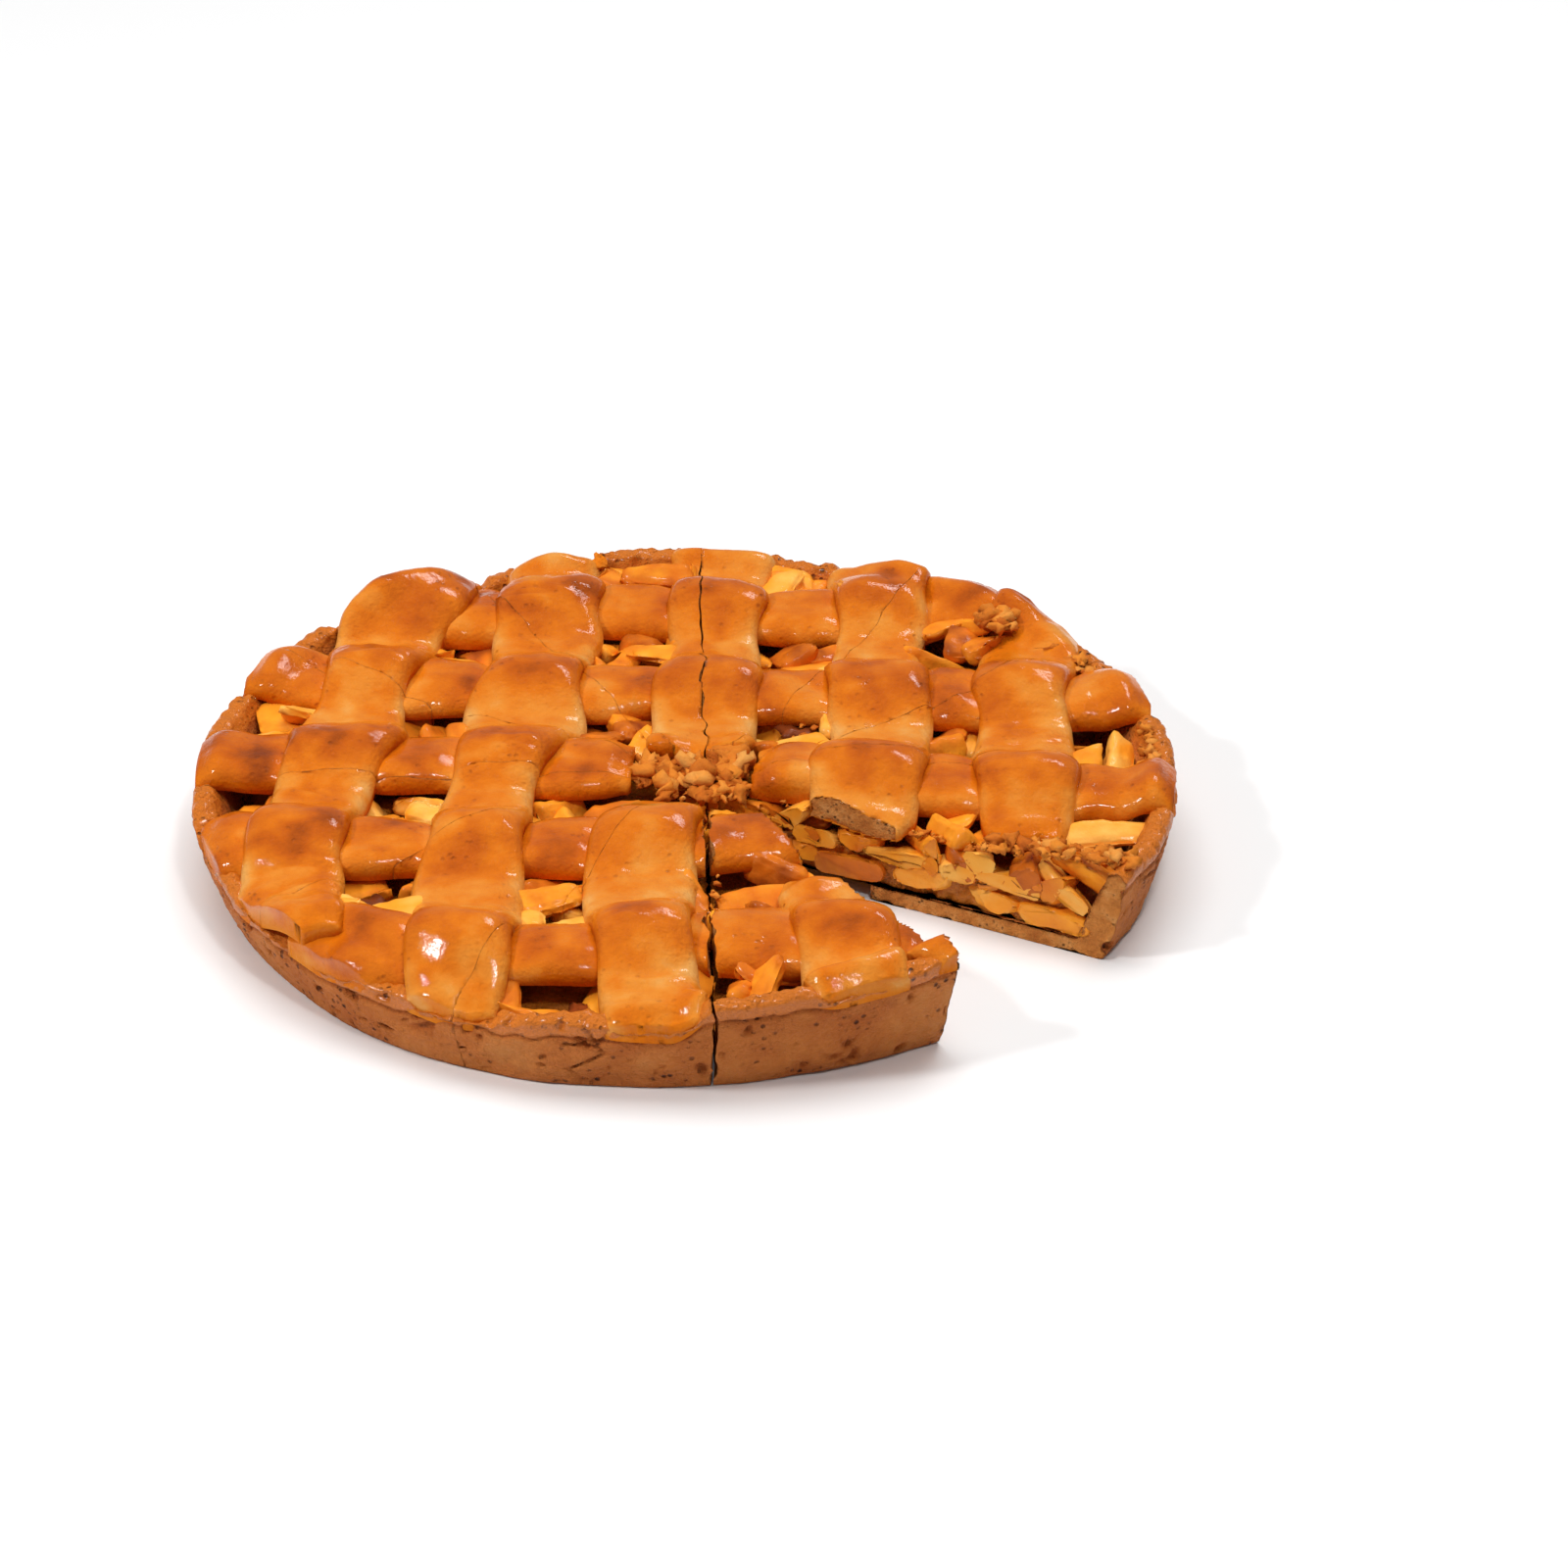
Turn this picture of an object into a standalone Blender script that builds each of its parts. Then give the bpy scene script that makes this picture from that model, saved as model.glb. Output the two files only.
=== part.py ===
"""A round apple pie with an open pastry lattice, cut into eleven slices of a twelfth each.

They stand in a ring that stays open for the width of one slice, so that two cut faces show. Every
slice is three kinds of solid: its crust (floor, wall and rim), its apple filling, and the pieces of
lattice that lie on it. The lattice is five rows laid on the filling and five columns laid over the
rows, so each column rises over every row and sags between them.

Frame: +Z up, origin at the middle of the round base on the surface that the pie stands on, the
columns run along Y and the rows along X. Metres.
"""

import math
import random

import bmesh
import bpy
from mathutils import Matrix, Vector

MM = 0.001

# Crust
RIM_RADIUS = 140 * MM
BASE_RADIUS = 133.5 * MM
# The wall isn't even: its foot's radius and its rim's height in millimetres, by degrees round the pie
FOOT_STATIONS = {
    -170: 133.5,
    -150: 133.5,
    -124: 136.5,
    -110: 136.5,
    -95: 134.5,
    -84: 133,
    -74: 131,
    -60: 130,
    -25: 133.5,
}
RIM_STATIONS = {
    -175: 25,
    -150: 22,
    -132: 20.5,
    -112: 20.5,
    -100: 23.5,
    -91: 24.5,
    -86: 28.5,
    -74: 30.5,
    -58: 32.5,
    -28: 28,
    10: 28,
    30: 27,
    45: 29,
    60: 28.5,
    72: 27,
    90: 29,
    107: 29,
    119: 27,
    135: 29,
    152: 28.5,
    168: 26.5,
}
RIM_THICKNESS = 7 * MM
RIM_CREST = 0.35  # how far in the rim's highest line is, in rim thicknesses
INNER_FOOT_RADIUS = BASE_RADIUS - 10.5 * MM
TURNED_HEIGHT = 41 * MM  # the rim is turned this high, then brought to its own height all round
FLOOR_THICKNESS = 5 * MM
FLOOR_EDGE_ROUND = 2.5 * MM
RIM_ROUND = 2.5 * MM
RIM_RAGGEDNESS = 0.54 * MM
CRUST_SEGMENTS = 96

# Cuts
SLICE_COUNT = 12
OPEN_PLACE = 10  # the twelfth that stays open, counted anticlockwise from FIRST_CUT_ANGLE
FIRST_CUT_ANGLE = math.radians(1.5)
CUT_CENTRE = Vector((6 * MM, -4 * MM))
CUT_WIDTH = 1.0 * MM
FRONT_CUT = 9
FRONT_CUT_WIDTH = 2.2 * MM
CUTTER_REACH = 220 * MM
CUTTER_HEIGHT = 60 * MM

# Filling
HEAP_HEIGHT = 20.5 * MM
HEAP_EDGE_HEIGHT = 15.5 * MM
HEAP_SHOULDER_RADIUS = 117 * MM
CLEARANCE = 0.35 * MM
APPLE_SPACING = 17 * MM
APPLE_FIELD_RADIUS = 117 * MM
APPLE_LENGTH = (17 * MM, 26 * MM)
APPLE_WIDTH = (9 * MM, 13 * MM)
APPLE_HEIGHT = (9 * MM, 13 * MM)
APPLE_RISE = (-1 * MM, 2 * MM)  # how high a wedge's middle lies over the heap
APPLE_SIDES = 5
APPLE_TAPER = ((-0.5, 0.45), (-0.22, 0.95), (0.2, 1.0), (0.5, 0.4))  # along in lengths, share of full width
APPLE_BEND = 0.2
APPLE_JITTER = 0.3
HIDDEN_SHARE = 0.42  # a wedge this near a strip's centre line, in strip widths, is left out
SEED = 28

# Lattice
STRIP_WIDTH = 28.5 * MM
STRIP_THICKNESS = 7.5 * MM
STRIP_STEP = 10.5 * MM
ROW_REST = 0.8 * MM  # what a strip lies above the bare heap
CROSSING_SINK = 1.2 * MM  # how deep a column presses into the row under it
CREST = 0.3  # a column lies flat over a row for this far from its centre line, in strip widths
SHOULDER = 11.2 * MM  # how far beside that the column takes to come down
RIM_LEDGE = 9 * MM  # the strips' ends climb onto the rim over this distance
RIM_INLAY = 3 * MM  # how deep they are pressed into it
TRIM_RADIUS = 139.3 * MM  # the strips are trimmed just inside the rim's outer edge
STRIP_PROFILE = (  # across in widths, up in thicknesses
    (-0.42, 0.0),
    (0.42, 0.0),
    (0.5, 0.36),
    (0.44, 0.8),
    (0.2, 1.08),
    (-0.2, 1.08),
    (-0.44, 0.8),
    (-0.5, 0.36),
)
TIP_TAPER = 0.62

# Pieces
SMALLEST_PIECE = 900 * MM**3  # a loose scrap under 0.9 cubic centimetres is left out
SHARP_ANGLE = math.radians(35)

# Centre lines in millimetres, from the left along a row and from the back along a column
ROWS = {
    "row_1": ((-84, 99), (-50, 101), (-18, 104), (30, 99), (68, 106), (94, 102)),
    "row_2": ((-125, 58), (-90, 56), (-50, 52), (0, 51), (50, 48), (95, 46), (128, 44)),
    "row_3_left": ((-135, 7), (-98, 8), (-60, 6), (-15, 4)),
    "row_3_right": ((20, 3), (50, -2), (85, -8), (132, -13)),
    "row_4": ((-133, -39), (-105, -42), (-60, -44), (-20, -43), (33, -37)),
    "row_5": ((-104, -92), (-70, -99), (-30, -103), (10, -97), (60, -101), (82, -108)),
}
COLUMNS = {
    "column_1": ((-77, 113), (-85, 92), (-92, 62), (-97, 20), (-105, -25), (-109, -60), (-106, -84)),
    "column_2": ((-41, 130), (-42, 95), (-44, 60), (-48, 25), (-55, -10), (-58, -50), (-60, -122)),
    "column_3_back": ((10, 134), (8, 105), (7, 70), (5, 40), (4, 10)),
    "column_3_front": ((-5, -18), (-11, -45), (-11, -80), (-9, -110), (-6, -136)),
    "column_4_back": ((57, 122), (57, 95), (55, 60), (56, 25), (52, -10), (50, -32)),
    "column_4_front": ((39, -62), (43, -85), (46, -110), (48, -127)),
    "column_5": ((103, 88), (99, 62), (97, 30), (97, 0), (96, -38)),
}

PASTRY_COLOUR = (0.62, 0.26, 0.07, 1)
LATTICE_COLOUR = (0.72, 0.27, 0.035, 1)
FILLING_COLOUR = (0.85, 0.43, 0.06, 1)


def material(name, colour, roughness, coat):
    made = bpy.data.materials.new(name)
    made.use_nodes = True
    shader = made.node_tree.nodes["Principled BSDF"]
    shader.inputs["Base Color"].default_value = colour
    shader.inputs["Roughness"].default_value = roughness
    shader.inputs["Metallic"].default_value = 0
    shader.inputs["Coat Weight"].default_value = coat
    return made


def mesh_object(name, bm, finish=None):
    """An object from a bmesh whose faces are first turned to point outwards."""
    bmesh.ops.recalc_face_normals(bm, faces=bm.faces)
    mesh = bpy.data.meshes.new(name)
    bm.to_mesh(mesh)
    bm.free()
    made = bpy.data.objects.new(name, mesh)
    bpy.context.scene.collection.objects.link(made)
    if finish:
        mesh.materials.append(finish)
    return made


def swept(rings):
    """A closed body through rings of points, with a flat face on its first and last ring."""
    bm = bmesh.new()
    face = bm.faces.new([bm.verts.new(point) for point in rings[0]])
    for number, ring in enumerate(rings[1:]):
        grown = bmesh.ops.extrude_face_region(bm, geom=[face])
        if number:
            bmesh.ops.delete(bm, geom=[face], context="FACES_ONLY")
        face = next(part for part in grown["geom"] if isinstance(part, bmesh.types.BMFace))
        for vertex, point in zip(face.verts, ring):
            vertex.co = point
    return bm


def baked(made):
    """Puts the shape that the modifiers give into the object's own mesh."""
    graph = bpy.context.evaluated_depsgraph_get()
    mesh = bpy.data.meshes.new_from_object(made.evaluated_get(graph))
    made.modifiers.clear()
    made.data = mesh
    return made


def boolean(made, operation, other):
    """Joins, cuts or trims made with an object or with every object of a collection."""
    modifier = made.modifiers.new(operation.lower(), "BOOLEAN")
    modifier.operation = operation
    if isinstance(other, bpy.types.Collection):
        modifier.operand_type = "COLLECTION"
        modifier.collection = other
    else:
        modifier.object = other
    return baked(made)


def fused(name, pieces):
    """One object from several that overlap."""
    others = bpy.data.collections.new(name + "_pieces")
    bpy.context.scene.collection.children.link(others)
    for piece in pieces[1:]:
        bpy.context.scene.collection.objects.unlink(piece)
        others.objects.link(piece)
    boolean(pieces[0], "UNION", others)
    for piece in pieces[1:]:
        bpy.data.objects.remove(piece)
    bpy.data.collections.remove(others)
    pieces[0].name = name
    return pieces[0]


def smooth_step(share):
    share = min(max(share, 0.0), 1.0)
    return share * share * (3 - 2 * share)


def smooth_route(points, step):
    """Points about step apart on a smooth curve through a strip's own points."""
    ends = [points[0] * 2 - points[1], *points, points[-1] * 2 - points[-2]]
    found = []
    for a, b, c, d in zip(ends, ends[1:], ends[2:], ends[3:]):
        count = max(1, round((c - b).length / step))
        for i in range(count):
            t = i / count
            curve = (2 * a - 5 * b + 4 * c - d) * t**2 + (3 * b - a - 3 * c + d) * t**3
            found.append((2 * b + (c - a) * t + curve) / 2)
    return [*found, points[-1]]


def distance_to_route(place, route):
    nearest = math.inf
    for a, b in zip(route, route[1:]):
        along = b - a
        share = min(max((place - a).dot(along) / along.length_squared, 0), 1)
        nearest = min(nearest, (place - a - along * share).length)
    return nearest


def between_stations(stations, angle):
    """A value in metres at an angle, eased from one station to the next all the way round."""
    degrees = math.degrees(angle)
    marks = sorted(stations)
    marks = [marks[-1] - 360, *marks, marks[0] + 360]
    for low, high in zip(marks, marks[1:]):
        if low <= degrees <= high:
            share = smooth_step((degrees - low) / (high - low))
            before, after = (stations[(mark + 180) % 360 - 180] for mark in (low, high))
            return (before + (after - before) * share) * MM


def rim_height(angle):
    """The wall's height at an angle round the pie, with its ragged edge."""
    ragged = math.sin(17 * angle + 1.1) * math.sin(7 * angle) + 0.5 * math.sin(41 * angle)
    return between_stations(RIM_STATIONS, angle) + RIM_RAGGEDNESS * ragged


def strip_support(place):
    """The height that a row lies on: the heap inside, and the rim at its ends."""
    reach = place.length - (RIM_RADIUS - RIM_THICKNESS - RIM_LEDGE)
    on_rim = smooth_step(reach / RIM_LEDGE)
    heap = HEAP_HEIGHT + ROW_REST
    rim = rim_height(math.atan2(place.y, place.x)) - RIM_INLAY
    return heap + (rim - heap) * on_rim


def row_swell(place, row_routes):
    """1 over a row's middle, 0 beside it."""
    nearest = min(distance_to_route(place, route) for route in row_routes)
    return 1 - smooth_step((nearest - STRIP_WIDTH * CREST) / SHOULDER)


def strip(name, route, grow, row_routes=()):
    """A flat strip of dough with rounded edges. grow makes it that much larger all round."""
    width = STRIP_WIDTH + 2 * grow
    thickness = STRIP_THICKNESS + 2 * grow
    rings = []
    last = len(route) - 1
    for i, place in enumerate(route):
        along = (route[min(i + 1, last)] - route[max(i - 1, 0)]).normalized()
        across = Vector((-along.y, along.x))
        taper = TIP_TAPER if i in (0, last) else 1.0
        centre = place + along * grow * ((i == last) - (i == 0))
        ring = []
        for side, up in STRIP_PROFILE:
            spot = centre + across * side * width * (0.5 + 0.5 * taper)
            rise = row_swell(spot, row_routes) if row_routes else 0
            base = strip_support(spot) + rise * (STRIP_THICKNESS - CROSSING_SINK) - grow
            ring.append(Vector((spot.x, spot.y, base + up * thickness * taper)))
        rings.append(ring)
    bm = swept(rings)
    bmesh.ops.triangulate(bm, faces=bm.faces)
    return mesh_object(name, bm)


def lattice(name, grow=0.0):
    """All the strips as one solid."""
    row_routes = [[Vector(p) * MM for p in points] for points in ROWS.values()]
    pieces = []
    for label, points in {**ROWS, **COLUMNS}.items():
        route = smooth_route([Vector(p) * MM for p in points], STRIP_STEP)
        over = row_routes if label in COLUMNS else ()
        pieces.append(strip(f"{name}_{label}", route, grow, over))
    return fused(name, pieces)


def trimmer():
    """An upright cylinder that holds all of the lattice that isn't trimmed off at the rim."""
    bm = bmesh.new()
    bmesh.ops.create_cone(
        bm,
        cap_ends=True,
        segments=CRUST_SEGMENTS,
        radius1=TRIM_RADIUS,
        radius2=TRIM_RADIUS,
        depth=CUTTER_HEIGHT * 2,
    )
    return mesh_object("trimmer", bm)


def crust_shell(finish):
    """The whole crust, turned about the pie's axis, then made uneven at its foot and its rim."""
    bm = bmesh.new()
    profile = [
        (0, 0),
        (BASE_RADIUS - FLOOR_EDGE_ROUND, 0),
        (BASE_RADIUS, FLOOR_EDGE_ROUND),
        (RIM_RADIUS, TURNED_HEIGHT - RIM_ROUND),
        (RIM_RADIUS - RIM_THICKNESS * RIM_CREST, TURNED_HEIGHT),
        (RIM_RADIUS - RIM_THICKNESS, TURNED_HEIGHT - RIM_ROUND / 2),
        (INNER_FOOT_RADIUS, FLOOR_THICKNESS),
        (0, FLOOR_THICKNESS),
    ]
    points = [bm.verts.new((radius, 0, height)) for radius, height in profile]
    edges = [bm.edges.new(pair) for pair in zip(points, points[1:])]
    bmesh.ops.spin(
        bm,
        geom=points + edges,
        cent=(0, 0, 0),
        axis=(0, 0, 1),
        angle=math.tau,
        steps=CRUST_SEGMENTS,
        use_merge=True,
    )
    bmesh.ops.remove_doubles(bm, verts=bm.verts, dist=1e-5)
    for vertex in bm.verts:
        angle = math.atan2(vertex.co.y, vertex.co.x)
        radius = math.hypot(vertex.co.x, vertex.co.y)
        if vertex.co.z > HEAP_HEIGHT:
            vertex.co.z += rim_height(angle) - TURNED_HEIGHT
        elif radius > INNER_FOOT_RADIUS + RIM_ROUND:
            share = 1 + (between_stations(FOOT_STATIONS, angle) - BASE_RADIUS) / radius
            vertex.co.x *= share
            vertex.co.y *= share
    return mesh_object("crust", bm, finish)


def apple_wedge(name, rng, place, height):
    """A wedge of cooked apple: a five-sided bar that is thick in the middle and bent."""
    length = rng.uniform(*APPLE_LENGTH)
    width = rng.uniform(*APPLE_WIDTH)
    tall = rng.uniform(*APPLE_HEIGHT)
    turn = rng.uniform(0, math.tau)
    bend = rng.uniform(-APPLE_BEND, APPLE_BEND)
    heading = Matrix.Rotation(rng.uniform(0, math.pi), 2)
    rings = []
    for along, full in APPLE_TAPER:
        ring = []
        for corner in range(APPLE_SIDES):
            angle = math.tau * corner / APPLE_SIDES + turn
            side = math.cos(angle) * width / 2 * full + bend * length * (1 - 4 * along * along)
            flat = place + heading @ Vector((along * length, side))
            ring.append(Vector((flat.x, flat.y, height + math.sin(angle) * tall / 2 * full)))
        rings.append(ring)
    bm = swept(rings)
    bmesh.ops.triangulate(bm, faces=bm.faces)
    return mesh_object(name, bm)


def filling_heap():
    """The filling as one solid: a flat core with wedges of apple standing out of it."""
    steepest = max(RIM_STATIONS.values()) * MM - FLOOR_THICKNESS
    slope = (RIM_RADIUS - RIM_THICKNESS - INNER_FOOT_RADIUS) / steepest
    floor = FLOOR_THICKNESS + CLEARANCE
    foot_radius = INNER_FOOT_RADIUS - CLEARANCE * 2
    edge_radius = foot_radius + slope * (HEAP_EDGE_HEIGHT - floor)
    levels = ((foot_radius, floor), (edge_radius, HEAP_EDGE_HEIGHT), (HEAP_SHOULDER_RADIUS, HEAP_HEIGHT))
    sides = CRUST_SEGMENTS // 2
    turns = [math.tau * side / sides for side in range(sides)]
    rings = [[Vector((r * math.cos(t), r * math.sin(t), height)) for t in turns] for r, height in levels]
    pieces = [mesh_object("filling", swept(rings))]
    rng = random.Random(SEED)
    routes = [[Vector(p) * MM for p in points] for points in (*ROWS.values(), *COLUMNS.values())]
    count = int(APPLE_FIELD_RADIUS // APPLE_SPACING)
    for i in range(-count, count + 1):
        for j in range(-count, count + 1):
            jitter = Vector((rng.uniform(-1, 1), rng.uniform(-1, 1))) * APPLE_JITTER
            place = (Vector((i + 0.5 * (j % 2), j)) + jitter) * APPLE_SPACING
            hidden = min(distance_to_route(place, route) for route in routes) < STRIP_WIDTH * HIDDEN_SHARE
            if place.length > APPLE_FIELD_RADIUS or hidden:
                continue
            pieces.append(apple_wedge(f"apple_{i}_{j}", rng, place, HEAP_HEIGHT + rng.uniform(*APPLE_RISE)))
    return fused("filling", pieces)


def slice_cutter(index):
    """A wedge that holds one slice, narrower than its place by half a cut on each side."""
    widths = [FRONT_CUT_WIDTH if cut % SLICE_COUNT == FRONT_CUT else CUT_WIDTH for cut in (index, index + 1)]
    low = FIRST_CUT_ANGLE + math.tau * index / SLICE_COUNT
    high = low + math.tau / SLICE_COUNT
    edges = []
    for angle, width, inward in ((low, widths[0], 1), (high, widths[1], -1)):
        along = Vector((math.cos(angle), math.sin(angle)))
        away = Vector((-along.y, along.x)) * inward * width / 2
        edges.append((CUT_CENTRE + away, along))
    (a, u), (b, v) = edges
    share = ((b - a).x * v.y - (b - a).y * v.x) / (u.x * v.y - u.y * v.x)
    middle = (low + high) / 2
    outline = [
        a + u * share,
        a + u * CUTTER_REACH,
        CUT_CENTRE + Vector((math.cos(middle), math.sin(middle))) * CUTTER_REACH * 1.1,
        b + v * CUTTER_REACH,
    ]
    rings = [[Vector((p.x, p.y, height)) for p in outline] for height in (-CUTTER_HEIGHT / 4, CUTTER_HEIGHT)]
    return mesh_object(f"cutter_{index}", swept(rings))


def copied(made, name):
    twin = made.copy()
    twin.data = made.data.copy()
    twin.name = name
    bpy.context.scene.collection.objects.link(twin)
    return twin


def loose_pieces(made):
    """The object's separate bodies, largest first, each its own bmesh."""
    whole = bmesh.new()
    whole.from_mesh(made.data)
    left = set(whole.verts)
    groups = []
    while left:
        group, edge = set(), [left.pop()]
        while edge:
            vertex = edge.pop()
            group.add(vertex.index)
            for link in vertex.link_edges:
                other = link.other_vert(vertex)
                if other in left:
                    left.remove(other)
                    edge.append(other)
        groups.append(group)
    whole.free()
    found = []
    for group in groups:
        piece = bmesh.new()
        piece.from_mesh(made.data)
        others = [vertex for vertex in piece.verts if vertex.index not in group]
        bmesh.ops.delete(piece, geom=others, context="VERTS")
        found.append(piece)
    return sorted(found, key=lambda piece: -piece.calc_volume())


def finished(name, bm, finish):
    """A node: smooth over its round parts, sharp at its cuts."""
    made = mesh_object(name, bm, finish)
    made.data.shade_smooth()
    made.data.set_sharp_from_angle(angle=SHARP_ANGLE)


def build():
    for old in list(bpy.data.objects):
        bpy.data.objects.remove(old)
    pastry = material("pastry", PASTRY_COLOUR, 0.75, 0.0)
    glazed = material("glazed_lattice", LATTICE_COLOUR, 0.35, 0.6)
    apples = material("apple_filling", FILLING_COLOUR, 0.4, 0.3)

    edge = trimmer()
    strips = boolean(lattice("lattice"), "INTERSECT", edge)
    room = lattice("room_for_lattice", CLEARANCE)
    crust = boolean(crust_shell(pastry), "DIFFERENCE", room)
    filling = boolean(filling_heap(), "DIFFERENCE", room)
    whole = {"crust": (crust, pastry), "filling": (filling, apples), "lattice": (strips, glazed)}

    number = 0
    for step in range(1, SLICE_COUNT):
        index = (OPEN_PLACE + step) % SLICE_COUNT
        number += 1
        cutter = slice_cutter(index)
        for kind, (source, finish) in whole.items():
            piece = boolean(copied(source, f"{kind}_{number:02d}"), "INTERSECT", cutter)
            bodies = [body for body in loose_pieces(piece) if body.calc_volume() > SMALLEST_PIECE]
            bpy.data.objects.remove(piece)
            for letter, body in zip("abcdefgh", bodies):
                ending = letter if len(bodies) > 1 else ""
                finished(f"{kind}_{number:02d}{ending}", body, finish)
        bpy.data.objects.remove(cutter)
    for source in (crust, filling, strips, room, edge):
        bpy.data.objects.remove(source)


build()
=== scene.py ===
import math
import random
import time

import bmesh
import bpy
import numpy as np
from mathutils import Matrix, Vector, noise


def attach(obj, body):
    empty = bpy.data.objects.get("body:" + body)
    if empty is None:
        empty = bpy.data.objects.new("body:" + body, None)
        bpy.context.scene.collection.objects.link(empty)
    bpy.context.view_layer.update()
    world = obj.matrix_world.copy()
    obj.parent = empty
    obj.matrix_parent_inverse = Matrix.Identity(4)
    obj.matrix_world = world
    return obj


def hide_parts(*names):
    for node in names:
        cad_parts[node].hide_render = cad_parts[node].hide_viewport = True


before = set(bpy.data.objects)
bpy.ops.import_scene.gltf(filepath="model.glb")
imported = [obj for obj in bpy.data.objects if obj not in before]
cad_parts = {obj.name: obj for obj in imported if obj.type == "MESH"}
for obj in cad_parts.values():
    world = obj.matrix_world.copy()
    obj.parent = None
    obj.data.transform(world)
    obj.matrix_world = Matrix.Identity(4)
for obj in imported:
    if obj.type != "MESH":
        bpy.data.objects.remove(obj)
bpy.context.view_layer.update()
mm = 0.001
started = time.time()


def tell(words):
    print(f"{time.time() - started:6.1f} s  {words}", flush=True)


tell(f"frame loaded: {len(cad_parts)} nodes")


# The pie's own law: where its wall, its heap of filling and its cuts are. Millimetres and degrees.

pie = {
    "rimRadius": 140,
    "footRadius": 133.5,
    "footStations": {
        -170: 133.5, -150: 133.5, -124: 136.5, -110: 136.5, -95: 134.5, -84: 133, -74: 131, -60: 130,
        -25: 133.5,
    },
    "rimStations": {
        -175: 25, -150: 22, -132: 20.5, -112: 20.5, -100: 23.5, -91: 24.5, -86: 28.5, -74: 30.5, -58: 32.5,
        -28: 28, 10: 28, 30: 27, 45: 29, 60: 28.5, 72: 27, 90: 29, 107: 29, 119: 27, 135: 29,
        152: 28.5, 168: 26.5,
    },
    "rimRaggedness": 0.54,
    "rimThickness": 6.5,
    "floorThickness": 4.6,
    "heapHeight": 20.5,
    "heapEdge": 15.5,
    "heapShoulder": 117,
    "heapFall": 15,
    "cutCentre": (6, -4),
    "firstCut": 1.5,
    "sliceCount": 12,
    "gapPlace": 10,  # the open place, counted anticlockwise from the first cut
}
slices = [(pie["gapPlace"] + step) % pie["sliceCount"] for step in range(1, pie["sliceCount"])]

# How wide the cuts stand open in each layer. Most have nearly closed again; the front one gapes.
cuts = {
    "crust": {"usual": 0.1, 9: 0.7},
    "lattice": {"usual": 0.08, 9: 1.8, 3: 0.45},
    "filling": {"usual": 0.06, 9: 0.3},
    "tear": {"usual": 0.08, 9: 0.7, 3: 0.12, 10: 0.9, 11: 0.9},
    "tearSize": 4.0,
    "wave": {"usual": 0.8, 9: 1.6, 3: 2.0},  # the knife didn't run quite straight
    "waveSize": 7.0,
    "spare": 30,  # what lies further outside a slice is dropped before the cutting
}


def smoothStep(share):
    share = np.clip(share, 0, 1)
    return share * share * (3 - 2 * share)


# A value eased from one station to the next, all the way round
def stationValue(stations, degrees):
    marks = sorted(stations)
    values = [stations[mark] for mark in marks]
    marks = np.array([marks[-1] - 360, *marks, marks[0] + 360])
    values = np.array([values[-1], *values, values[0]])
    place = np.clip(np.searchsorted(marks, degrees) - 1, 0, len(marks) - 2)
    share = (degrees - marks[place]) / (marks[place + 1] - marks[place])
    return values[place] + (values[place + 1] - values[place]) * smoothStep(share)


def rimHeight(x, y):
    turn = np.arctan2(y, x)
    ragged = np.sin(17 * turn + 1.1) * np.sin(7 * turn) + 0.5 * np.sin(41 * turn)
    return stationValue(pie["rimStations"], np.degrees(turn)) + pie["rimRaggedness"] * ragged


# The bare heap's height: flat, with a shoulder towards the wall
def heapTop(x, y):
    fall = (np.hypot(x, y) - pie["heapShoulder"]) / pie["heapFall"]
    return pie["heapHeight"] + (pie["heapEdge"] - pie["heapHeight"]) * np.clip(fall, 0, 1)


# Signed noise of one size in millimetres
def roughness3d(point, size, seed=0.0):
    return noise.noise(Vector((point[0] / size + seed, point[1] / size - seed, point[2] / size + 0.5 * seed)))


# Small tools that every piece uses

# Makes a bmesh in millimetres a piece in metres that rides on the pie
def meshPiece(name, bm, materials, nodes=()):
    bmesh.ops.scale(bm, vec=(mm, mm, mm), verts=bm.verts)
    mesh = bpy.data.meshes.new(name)
    bm.to_mesh(mesh)
    bm.free()
    for material in materials:
        mesh.materials.append(material)
    mesh.shade_smooth()
    piece = bpy.data.objects.new(name, mesh)
    bpy.context.scene.collection.objects.link(piece)
    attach(piece, "root")
    if nodes:
        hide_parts(*nodes)
    return piece


def positions(bm):
    return np.array([vertex.co[:] for vertex in bm.verts])


def setPositions(bm, places):
    for vertex, place in zip(bm.verts, places):
        vertex.co = place


def paint(bm, layerName, values):
    layer = bm.verts.layers.float.get(layerName) or bm.verts.layers.float.new(layerName)
    for vertex, value in zip(bm.verts, values):
        vertex[layer] = float(value)


# A section's points carried round the axis on a fine grid, with one flat face in the middle above and below
def revolved(section, turns):
    bm = bmesh.new()
    bmesh.ops.create_grid(bm, x_segments=turns, y_segments=len(section) - 1, size=0.5)
    places = positions(bm)
    turn = (places[:, 0] + 0.5) * math.tau
    radius, height = np.array(section)[np.rint((places[:, 1] + 0.5) * (len(section) - 1)).astype(int)].T
    setPositions(bm, np.column_stack([radius * np.cos(turn), radius * np.sin(turn), height]))
    bmesh.ops.remove_doubles(bm, verts=bm.verts, dist=0.002)
    bmesh.ops.holes_fill(bm, edges=[edge for edge in bm.edges if edge.is_boundary], sides=0)
    bmesh.ops.recalc_face_normals(bm, faces=bm.faces)
    return bm


# Adds one bmesh to another, with its layers and its material numbers
def addInto(target, source):
    holder = bpy.data.meshes.new("holder")
    source.to_mesh(holder)
    source.free()
    target.from_mesh(holder)
    bpy.data.meshes.remove(holder)


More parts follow.
